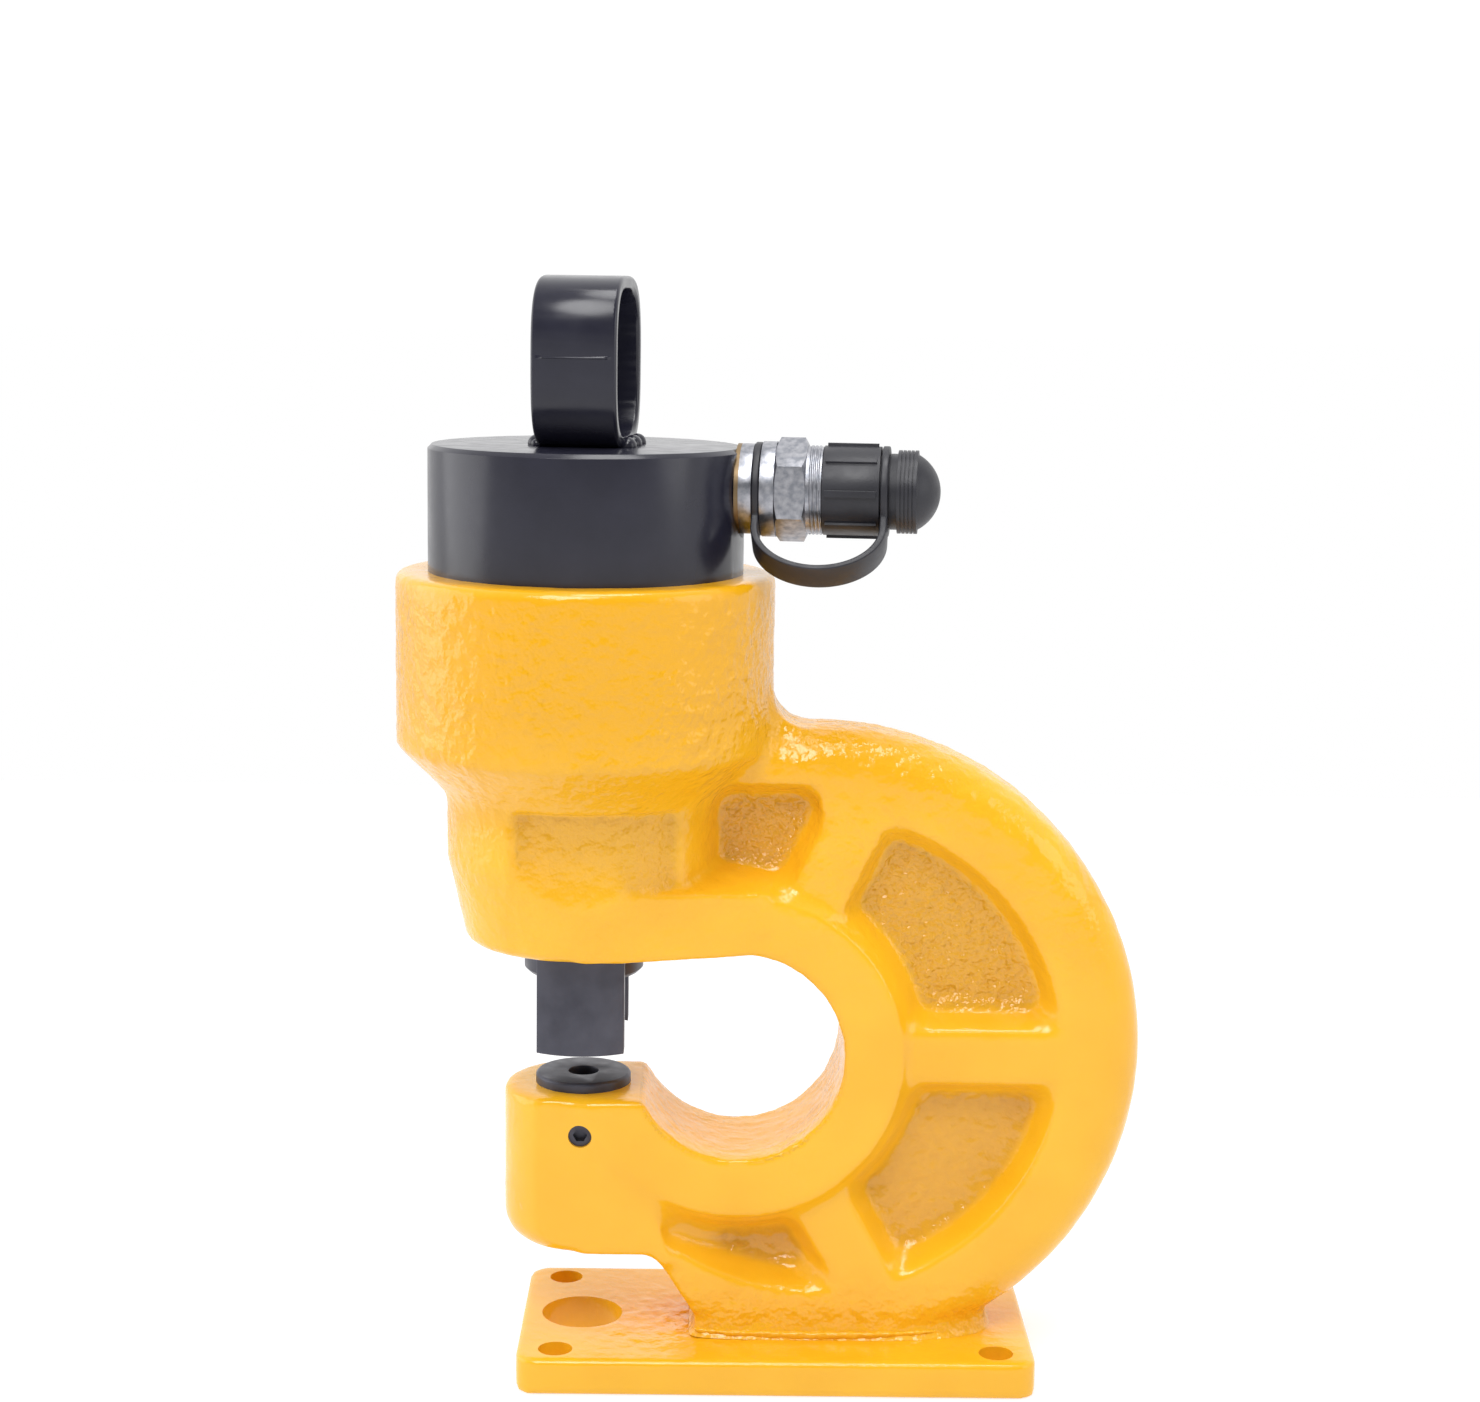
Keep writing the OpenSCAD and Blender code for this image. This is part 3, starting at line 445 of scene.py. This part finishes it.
def makeCoated(look, grain):
    material, tree, shader = newMaterial(look["name"])
    spot = objectSpot(tree)
    patches = noise(tree, spot, look.get("mottle", grain["mottle"]), grain["detail"])
    colour = blendColours(tree, remap(tree, patches, grain["mottleRange"]), look["dark"], look["light"])
    tree.links.new(colour, shader.inputs["Base Color"])
    shine = noise(tree, spot, grain["glossScale"], grain["detail"])
    tree.links.new(remap(tree, shine, grain["glossRange"], look["gloss"]), shader.inputs["Roughness"])
    peel = noise(tree, spot, look["peelScale"], grain["peelDetail"])
    tree.links.new(addBump(tree, peel, look["peel"], grain["peelDepth"]), shader.inputs["Normal"])
    shader.inputs["Metallic"].default_value = look.get("metal", 0)
    return material


finishes = {"yellow_enamel": makeYellowEnamel(yellowPaint)}
for slot, look in coatings.items():
    finishes[slot] = makeCoated(look, coatGrain)
slotOf = {row["node"]: row["material_slot"] for row in frame["record"]["subparts"]}
for node, solid in frame["nodes"].items():
    wear(solid, finishes[slotOf[node]])
print("materials made:", len(finishes))


def install(piece, body, slot, *nodes):
    wear(piece, finishes[slot])
    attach(piece, body)
    if nodes:
        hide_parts(*nodes)


# cast frame: one skin over its four solids, softened as a casting is, with its bores cut afterwards
# rods, blocks and the wedge are in millimetres, places on the casting in metres
castFrame = {
    "nodes": ["frame_head", "frame_crown", "frame_back", "frame_arm"],
    "voxel": 1.15 * mm,
    "fillet": 5.0 * mm,
    "rounds": 2,
    "mostTriangles": 185000,
    "shadeAngle": 50,
    "throatCentre": (0.057, 0.12),
    "rimCentre": (0.085, 0.12),
    "waves": {"size": 0.011, "height": 0.2 * mm, "middle": 0.75},
    "peelClouds": {"size": 0.0048, "height": 0.8 * mm, "middle": 0.75},
    "grains": {"size": 0.0042, "height": 1.5 * mm, "middle": 0.5, "octaves": 1},
    "peel": {
        "low": 0.12,
        "rise": 0.09,
        "end": 0.2925,
        "endFade": 0.008,
        "leastShare": 0.2,
        "throatReach": 0.0392,
        "throatShare": 0.8,
        "footTop": 0.042,
        "footFade": 0.018,
        "footShare": 0.9,
    },
    "foot": {
        "top": 0.01301,
        "sink": 3 * mm,
        "slab": ((20, -40, 4), (164, 40, 11.2)),
        "cut": ((-60, -90, -20), (230, 90, 13.02)),
    },
    "pocket": {
        "ringReach": 0.059,
        "rimReach": 0.094,
        "crownReach": 0.105,
        "floorDepth": 0.0112,
        "lipDepth": 0.0135,
        "margin": 0.007,
        "top": 0.226,
        "start": 0.027,
        "rounds": 6,
    },
    "plugs": [(58, 230, 293), (40, 170, 245), (31.2, 158, 190), (19, 44, 103.4)],
    "bores": [(56.53, 240, 300), (38.02, 222, 241), (25.03, 170, 223), (30.03, 150, 178),
              (17.53, 84, 110), (12.25, 40, 85)],
    "screwHole": {"height": 89.5, "radius": 4.28, "plugRadius": 5.4, "plugEnd": 12, "face": 24.5,
                  "overrun": 5, "end": 5},
    "noseWedge": {
        "left": 12,
        "right": 68,
        "low": 166,
        "topLeft": 183.6,
        "topRight": 180.4,
        "crestLeft": 205,
        "crestRight": 191,
        "end": 27.4,
        "lowFront": 43.4,
        "topFront": 46.2,
    },
    "armBlend": {"radius": 0.06, "reach": 0.009, "right": 0.03, "front": 0.02, "rounds": 40},
    "panel": {
        "left": -0.024,
        "right": 0.036,
        "low": 0.18,
        "top": 0.213,
        "front": 0.026,
        "edge": 0.0024,
        "depth": 4 * mm,
        "floor": 0.046,
        "fade": 0.02,
        "ledge": 0.012,
        "ledgeLength": 0.01,
        "ledgeDrop": 0.004,
        "shadeShare": 0.6,
        "shadeReach": 0.0485,
        "shadeFade": 1.5 * mm,
    },
}
rodSides = 120
crossRodSides = 64


def makeRod(name, radius, low, high, x=0, y=0):
    bpy.ops.object.select_all(action="DESELECT")
    middle = Vector((x, y, (low + high) / 2)) * mm
    bpy.ops.mesh.primitive_cylinder_add(vertices=rodSides, radius=radius * mm, depth=(high - low) * mm,
                                        location=middle)
    rod = bpy.context.object
    rod.name = name
    bpy.ops.object.transform_apply(location=True, rotation=True, scale=True)
    return rod


def makeCrossRod(name, radius, height, near, far):
    bpy.ops.object.select_all(action="DESELECT")
    bpy.ops.mesh.primitive_cylinder_add(vertices=crossRodSides, radius=radius * mm, depth=(near - far) * mm,
                                        location=(0, -(near + far) / 2 * mm, height * mm),
                                        rotation=(math.pi / 2, 0, 0))
    rod = bpy.context.object
    rod.name = name
    bpy.ops.object.transform_apply(location=True, rotation=True, scale=True)
    return rod


def makeBlock(name, low, high):
    bpy.ops.object.select_all(action="DESELECT")
    bpy.ops.mesh.primitive_cube_add(size=1, location=(Vector(low) + Vector(high)) / 2 * mm)
    block = bpy.context.object
    block.name = name
    block.scale = (Vector(high) - Vector(low)) * mm
    bpy.ops.object.transform_apply(location=True, rotation=True, scale=True)
    return block


def makeNoseWedge(wedge, side):
    bpy.ops.object.select_all(action="DESELECT")
    bpy.ops.mesh.primitive_cube_add(size=2)
    piece = bpy.context.object
    piece.name = "noseWedge"
    for corner in piece.data.vertices:
        atTop = corner.co.z > 0
        end = "Left" if corner.co.x < 0 else "Right"
        front = wedge["end"]
        if end == "Left":
            front = wedge["topFront" if atTop else "lowFront"]
        across = front if corner.co.y > 0 else 0
        crown = wedge["top" + end] if across else wedge["crest" + end]
        corner.co = Vector((wedge[end.lower()], side * across, crown if atTop else wedge["low"])) * mm
    editWhole(piece)
    bpy.ops.mesh.normals_make_consistent(inside=False)
    bpy.ops.object.mode_set(mode="OBJECT")
    return piece


def pocketDepth(spot, facts, margin=0):
    pocket = facts["pocket"]
    flat = Vector((spot.x, spot.z))
    crown = spot.z >= facts["rimCentre"][1]
    reach = pocket["crownReach" if crown else "rimReach"]
    clear = (flat - Vector(facts["throatCentre"])).length > pocket["ringReach"]
    clear = clear and (flat - Vector(facts["rimCentre"])).length < reach
    clear = clear and spot.z < pocket["top"] and spot.x > pocket["start"]
    inward = max(0, abs(spot.y) - margin)
    return ramp(-inward, -pocket["lipDepth"], pocket["lipDepth"] - pocket["floorDepth"]) if clear else 0


# panel in the neck: sharp at its sides and top, faded at its foot except over the ledge
def panelDepth(spot, facts):
    panel = facts["panel"]
    edge = panel["edge"]
    sides = ramp(spot.x, panel["left"], edge) * ramp(-spot.x, -panel["right"], edge)
    overLedge = ramp(spot.x, panel["ledge"], panel["ledgeLength"])
    low = panel["low"] - panel["ledgeDrop"] * overLedge
    fade = panel["fade"] * (1 - overLedge) + edge * overLedge
    ends = ramp(spot.z, low, fade) * ramp(-spot.z, -panel["top"], edge)
    return sides * ends * ramp(abs(spot.y), panel["front"], edge)


def panelCut(spot, facts):
    panel = facts["panel"]
    return panelDepth(spot, facts) * ramp(spot.xy.length, panel["floor"], panel["depth"])


def panelShade(spot, facts):
    panel = facts["panel"]
    wedge = facts["noseWedge"]
    along = ramp(spot.x, wedge["left"] * mm, (wedge["right"] - wedge["left"]) * mm)
    ridge = (wedge["topLeft"] + along * (wedge["topRight"] - wedge["topLeft"])) * mm
    above = ramp(spot.z, ridge, panel["edge"]) if along > 0 else 1
    inside = ramp(-spot.xy.length, -panel["shadeReach"], panel["shadeFade"])
    return panel["shadeShare"] * panelDepth(spot, facts) * above * inside


def paintPeel(spot, facts):
    peel = facts["peel"]
    apart = (Vector((spot.x, spot.z)) - Vector(facts["throatCentre"])).length
    if apart < peel["throatReach"]:
        return peel["throatShare"]
    upper = ramp(spot.z, peel["low"], peel["rise"]) * ramp(-spot.z, -peel["end"], peel["endFade"])
    foot = peel["footShare"] * ramp(-spot.z, -peel["footTop"], peel["footFade"])
    return max(peel["leastShare"], upper, foot)


def armBlend(spot, facts):
    blend = facts["armBlend"]
    centre = Vector(facts["throatCentre"])
    apart = abs((Vector((spot.x, spot.z)) - centre).length - blend["radius"])
    inside = abs(spot.y) > blend["front"] and spot.z < centre.y and spot.x < blend["right"]
    return max(0, 1 - apart / blend["reach"]) if inside else 0


def joinCastings(facts):
    piece = mergedCopy(facts["nodes"][0], "castFrame")
    for node in facts["nodes"][1:]:
        combine(piece, mergedCopy(node, node + "Skin"), "UNION")
    foot = facts["foot"]
    for vertex in piece.data.vertices:  # foot runs on into the plate, so that its rim stays closed
        if vertex.co.z < foot["top"]:
            vertex.co.z -= foot["sink"]
    for plug in facts["plugs"]:
        combine(piece, makeRod("borePlug", *plug), "UNION")
    hole = facts["screwHole"]
    plug = makeCrossRod("screwPlug", hole["plugRadius"], hole["height"], hole["face"], hole["plugEnd"])
    combine(piece, plug, "UNION")
    combine(piece, makeBlock("footSlab", *foot["slab"]), "UNION")
    return piece


def roundCorners(piece, facts):
    remesh(piece, facts["voxel"])
    for swell in (facts["fillet"], -facts["fillet"]):  # inner corners fill up, outer ones come back
        finishWith(piece, "DISPLACE", strength=swell, mid_level=0)
        remesh(piece, facts["voxel"])


def shapeNeck(piece, facts):
    markGroup(piece, "panels", lambda spot: panelCut(spot, facts))
    finishWith(piece, "DISPLACE", strength=-facts["panel"]["depth"], mid_level=0, vertex_group="panels")
    for side in (-1, 1):  # ledge comes after the rounding, so that its ridge is less blunt
        combine(piece, makeNoseWedge(facts["noseWedge"], side), "UNION")
    remesh(piece, facts["voxel"])


def softenCasting(piece, facts):
    soften(piece, facts["rounds"])
    pocket = facts["pocket"]
    markGroup(piece, "pockets", lambda spot: pocketDepth(spot, facts, pocket["margin"]))
    soften(piece, pocket["rounds"], "pockets")
    markGroup(piece, "armBlend", lambda spot: armBlend(spot, facts))
    soften(piece, facts["armBlend"]["rounds"], "armBlend")
    soften(piece, facts["rounds"])


def roughenCasting(piece, facts):
    roughen(piece, "castWaves", facts["waves"])
    markGroup(piece, "peel", lambda spot: paintPeel(spot, facts))
    roughen(piece, "castPeel", facts["peelClouds"], "peel")
    markGroup(piece, "floors", lambda spot: pocketDepth(spot, facts))
    roughen(piece, "castGrains", facts["grains"], "floors")


def boreCasting(piece, facts):
    combine(piece, makeBlock("footCut", *facts["foot"]["cut"]), "DIFFERENCE")
    for bore in facts["bores"]:
        combine(piece, makeRod("boreCutter", *bore), "DIFFERENCE")
    hole = facts["screwHole"]
    near = hole["face"] + hole["overrun"]
    cutter = makeCrossRod("screwCutter", hole["radius"], hole["height"], near, hole["end"])
    combine(piece, cutter, "DIFFERENCE")


def makeCastFrame(facts):
    piece = joinCastings(facts)
    roundCorners(piece, facts)
    shapeNeck(piece, facts)
    softenCasting(piece, facts)
    roughenCasting(piece, facts)
    boreCasting(piece, facts)
    triangles = countTriangles(piece)
    finishWith(piece, "DECIMATE", ratio=min(1, facts["mostTriangles"] / triangles))
    # this mark gives the pocket floors and neck panel their rough bump and their darker colour, the colour
    # partly painted shade of the recesses
    markPoints(piece, "castRoughAndShade", lambda spot: max(pocketDepth(spot, facts), panelShade(spot, facts)))
    markPoints(piece, "paintPeel", lambda spot: paintPeel(spot, facts))
    piece.vertex_groups.clear()
    smoothShade(piece, facts["shadeAngle"])
    install(piece, "frame", "yellow_enamel", *facts["nodes"])
    print("cast frame:", triangles, "triangles before thinning,", len(piece.data.polygons), "faces kept")


makeCastFrame(castFrame)

# base plate: thick paint, softened edges and a lumpy patch by the casting's foot
basePlate = {
    "voxel": 1.1 * mm,
    "rounds": 5,
    "waves": {"size": 0.016, "height": 0.12 * mm, "middle": 0.8},
    "drips": {"size": 0.0036, "height": 1.5 * mm, "middle": 0.8},
    "patchCentre": (0.032, -0.004),
    "patchReach": 0.042,
    "patchBand": 1 * mm,
    "leastPeelShare": 0.2,
    "holes": [(0, 0, 15), (-8, -35, 6.25), (-8, 35, 6.25), (152, -35, 6.25), (152, 35, 6.25)],
    "plug": 1.5,
    "depth": (-2, 16),
    "keepShare": 0.45,
    "shadeAngle": 40,
}


def patchWeight(spot, top, facts):
    apart = (spot.xy - Vector(facts["patchCentre"])).length
    onTop = spot.z > top - facts["patchBand"]
    return ramp(-apart, -facts["patchReach"], facts["patchReach"]) if onTop else 0


def makeBasePlate(facts):
    piece = mergedCopy("base_plate", "basePlate")
    low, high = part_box("base_plate")
    for x, y, radius in facts["holes"]:
        combine(piece, makeRod("holePlug", radius + facts["plug"], low.z / mm, high.z / mm, x, y), "UNION")
    remesh(piece, facts["voxel"])
    soften(piece, facts["rounds"])
    roughen(piece, "plateWaves", facts["waves"])
    markGroup(piece, "paintPatch", lambda spot: patchWeight(spot, high.z, facts))
    roughen(piece, "paintDrips", facts["drips"], "paintPatch")
    triangles = countTriangles(piece)
    finishWith(piece, "DECIMATE", ratio=facts["keepShare"])
    for x, y, radius in facts["holes"]:
        combine(piece, makeRod("holeCutter", radius, *facts["depth"], x, y), "DIFFERENCE")
    least = facts["leastPeelShare"]
    markPoints(piece, "paintPeel", lambda spot: max(least, patchWeight(spot, high.z, facts)))
    piece.vertex_groups.clear()
    smoothShade(piece, facts["shadeAngle"])
    install(piece, "frame", "yellow_enamel", "base_plate")
    print("base plate:", triangles, "triangles before thinning")


makeBasePlate(basePlate)

# weld bead round the foot
footBead = {
    "voxel": 0.5 * mm,
    "swell": 0.25 * mm,
    "rounds": 10,
    "ripples": {"size": 0.0028, "height": 1.0 * mm, "middle": 0.55},
    "shadeAngle": 60,
}


def makeFootBead(facts):
    piece = mergedCopy("base_weld", "footBead")
    remesh(piece, facts["voxel"])
    finishWith(piece, "DISPLACE", strength=facts["swell"], mid_level=0)
    soften(piece, facts["rounds"])
    roughen(piece, "weldRipples", facts["ripples"])
    smoothShade(piece, facts["shadeAngle"])
    install(piece, "frame", "yellow_enamel", "base_weld")


makeFootBead(footBead)
print("foot bead laid")

# cylinder top and coupler axis, which the ring, its weld, the strap and the thread follow
cylinderTop = 338
couplerTurn = -6.5
couplerHeight = 323.6

# turned and moulded pieces: the solids with their edges broken
edgeBreaks = {
    "oilCylinder": {"node": "cylinder", "body": "frame", "width": 0.7 * mm, "angle": 25},
    "stripperSleeve": {"node": "stripper", "body": "frame", "width": 0.5 * mm, "angle": 40},
    "punchNut": {"node": "punch_nut", "body": "ram", "width": 0.3 * mm, "angle": 30},
    "punchTool": {"node": "punch", "body": "ram", "width": 0.15 * mm, "angle": 30},
    "dieRing": {"node": "die", "body": "frame", "width": 0.25 * mm, "angle": 30},
    "couplerBody": {"node": "coupler_body", "body": "frame", "width": 0.3 * mm, "angle": 25},
    "dustCap": {"node": "dust_cap", "body": "cap", "width": 0.35 * mm, "angle": 35},
    "capTether": {"node": "cap_tether", "body": "frame", "width": 0.5 * mm, "angle": 40},
}
edging = {"flatAngle": 1, "segments": 3, "shadeAngle": 30}

# strap hangs in a plane swung towards the viewer, and its loop is drawn up into a shallower bow
strapBow = {"swing": -40, "root": 17, "keepShare": 0.755}


def drawUp(piece, bow):
    lie = Matrix.Rotation(math.radians(couplerTurn), 4, "Z")
    lie = lie @ Matrix.Translation((0, 0, couplerHeight * mm))
    lie = lie @ Matrix.Rotation(math.radians(bow["swing"]), 4, "X")
    root = bow["root"] * mm
    for vertex in piece.data.vertices:
        spot = lie.inverted() @ vertex.co
        if spot.z < -root:
            spot.z = -root + (spot.z + root) * bow["keepShare"]
            vertex.co = lie @ spot


def makeEdged(name, facts):
    piece = mergedCopy(facts["node"], name)
    flattenFaces(piece, edging["flatAngle"])
    if name == "capTether":
        drawUp(piece, strapBow)
    finishWith(piece, "BEVEL", width=facts["width"], segments=edging["segments"], limit_method="ANGLE",
               angle_limit=math.radians(facts["angle"]), miter_outer="MITER_ARC", use_clamp_overlap=True)
    smoothShade(piece, edging["shadeAngle"])
    install(piece, facts["body"], slotOf[facts["node"]], facts["node"])


for name, facts in edgeBreaks.items():
    makeEdged(name, facts)
print("edged pieces:", len(edgeBreaks))

# lifting ring: rolled strap with its ground seam and the lap of its inner ply
liftRing = {
    "centre": 367.2,
    "radius": 30.4,
    "inner": 25.9,
    "square": 3.2,
    "seam": {"rise": 2.2, "length": 22, "thick": 0.45, "proud": 0.2, "sides": 16, "bevel": 0.3 * mm},
    "lap": {"angle": -52, "across": 12.6, "size": (2.4, 1.6, 9), "bevel": 0.35 * mm},
    "bevelSegments": 2,
    "shadeAngle": 35,
}


def turnedPlace(x, y, z):
    return Matrix.Rotation(math.radians(couplerTurn), 4, "Z") @ Matrix.Translation(Vector((x, y, z)) * mm)


def settle(piece, place):
    piece.matrix_world = place @ piece.matrix_world
    pick(piece)
    bpy.ops.object.transform_apply(location=True, rotation=True, scale=True)


# how far the ring's rounded-square outline reaches beyond its circle in one direction
def squareness(across, rise, power):
    whole = math.hypot(across, rise)
    return (abs(across / whole) ** power + abs(rise / whole) ** power) ** (-1 / power)


def squareUp(piece, facts):
    turn = Matrix.Rotation(math.radians(couplerTurn), 4, "Z")
    centre = facts["centre"] * mm
    for vertex in piece.data.vertices:
        spot = turn.inverted() @ vertex.co
        grow = squareness(spot.y, spot.z - centre, facts["square"])
        spot.y *= grow
        spot.z = max(cylinderTop * mm, centre + (spot.z - centre) * grow)
        vertex.co = turn @ spot


def makeSeam(facts):
    seam = facts["seam"]
    bpy.ops.object.select_all(action="DESELECT")
    bpy.ops.mesh.primitive_cylinder_add(vertices=seam["sides"], radius=seam["thick"] * mm,
                                        depth=seam["length"] * mm, rotation=(0, math.pi / 2, 0))
    line = bpy.context.object
    settle(line, turnedPlace(0, seam["proud"] - facts["radius"], facts["centre"] + seam["rise"]))
    finishWith(line, "BEVEL", width=seam["bevel"], segments=facts["bevelSegments"], limit_method="ANGLE")
    return line


def makeLap(facts):
    lap = facts["lap"]
    bpy.ops.object.select_all(action="DESELECT")
    bpy.ops.mesh.primitive_cube_add(size=mm)
    ply = bpy.context.object
    ply.scale = lap["size"]
    angle = math.radians(lap["angle"])
    inner = facts["inner"] * squareness(math.cos(angle), math.sin(angle), facts["square"])
    spot = (lap["across"], -inner * math.cos(angle), facts["centre"] + inner * math.sin(angle))
    settle(ply, turnedPlace(*spot) @ Matrix.Rotation(-angle, 4, "X"))
    finishWith(ply, "BEVEL", width=lap["bevel"], segments=facts["bevelSegments"])
    return ply


def makeLiftRing(facts):
    piece = mergedCopy("lift_ring", "liftRing")
    squareUp(piece, facts)
    combine(piece, makeSeam(facts), "UNION")
    combine(piece, makeLap(facts), "UNION")
    smoothShade(piece, facts["shadeAngle"])
    install(piece, "frame", "black_enamel", "lift_ring")


makeLiftRing(liftRing)
print("lifting ring rolled")

# weld blobs at the foot of the lifting ring
ringWeld = {
    "across": 16.2,
    "reach": 12,
    "blobs": 7,
    "radius": 2.6,
    "fineness": 3,
    "rise": 0.5,
    "wobbleStep": 2.3,
    "swellShare": 0.28,
    "sway": 0.4,
    "voxel": 0.3 * mm,
    "rounds": 3,
    "shadeAngle": 50,
}


def makeBlob(facts, side, i):
    wobble = math.sin(facts["wobbleStep"] * i + side)
    along = facts["reach"] * (2 * i / (facts["blobs"] - 1) - 1)
    across = side * (facts["across"] + facts["sway"] * wobble)
    radius = facts["radius"] * (1 + facts["swellShare"] * wobble)
    bpy.ops.object.select_all(action="DESELECT")
    bpy.ops.mesh.primitive_ico_sphere_add(subdivisions=facts["fineness"], radius=radius * mm)
    blob = bpy.context.object
    settle(blob, turnedPlace(across, along, cylinderTop + facts["rise"]))
    return blob


def makeRingWeld(facts):
    blobs = [makeBlob(facts, side, i) for side in (-1, 1) for i in range(facts["blobs"])]
    pick(blobs[0])
    for blob in blobs:
        blob.select_set(True)
    bpy.ops.object.join()
    piece = bpy.context.object
    piece.name = "ringWeld"
    remesh(piece, facts["voxel"])
    soften(piece, facts["rounds"])
    editWhole(piece)
    bpy.ops.mesh.bisect(plane_co=(0, 0, cylinderTop * mm), plane_no=(0, 0, 1), use_fill=True,
                        clear_inner=True)
    bpy.ops.object.mode_set(mode="OBJECT")
    smoothShade(piece, facts["shadeAngle"])
    install(piece, "frame", "black_enamel", "lift_ring_weld")


makeRingWeld(ringWeld)
print("ring weld laid")

# thread on the coupler's neck
neckThread = {
    "start": 80.3,
    "radius": 15.3,
    "wire": 0.55,
    "wireSides": 8,
    "pitch": 1.35,
    "turns": 3,
    "steps": 72,
    "shadeAngle": 50,
}


def makeNeckThread(facts):
    bpy.ops.object.select_all(action="DESELECT")
    bpy.ops.mesh.primitive_circle_add(vertices=facts["wireSides"], radius=facts["wire"] * mm,
                                      rotation=(math.pi / 2, 0, 0), location=(facts["radius"] * mm, 0, 0))
    piece = bpy.context.object
    piece.name = "neckThread"
    piece.data.name = "neckThread"
    bpy.ops.object.transform_apply(location=True, rotation=True, scale=True)
    finishWith(piece, "SCREW", axis="Z", screw_offset=facts["pitch"] * mm, iterations=facts["turns"],
               steps=facts["steps"], render_steps=facts["steps"])
    editWhole(piece)
    bpy.ops.mesh.remove_doubles(threshold=mergeReach)
    bpy.ops.mesh.fill_holes(sides=0)
    bpy.ops.mesh.select_all(action="SELECT")
    bpy.ops.mesh.normals_make_consistent(inside=False)
    bpy.ops.object.mode_set(mode="OBJECT")
    lie = Matrix.Rotation(math.pi / 2, 4, "Y")
    settle(piece, turnedPlace(facts["start"], 0, couplerHeight) @ lie)
    smoothShade(piece, facts["shadeAngle"])
    install(piece, "frame", "zinc")


makeNeckThread(neckThread)
print("neck thread cut")

# return spring: its foot stays on the step under the piston; the solid is copied unchanged and smooth-shaded
returnSpring = {"node": "return_spring", "joint": "ram_press", "travel": 22 * mm, "shadeAngle": 40}


def makeReturnSpring(facts):
    piece = mergedCopy(facts["node"], "returnSpring")
    smoothShade(piece, facts["shadeAngle"])
    install(piece, "frame", slotOf[facts["node"]], facts["node"])
    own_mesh(piece)


makeReturnSpring(returnSpring)
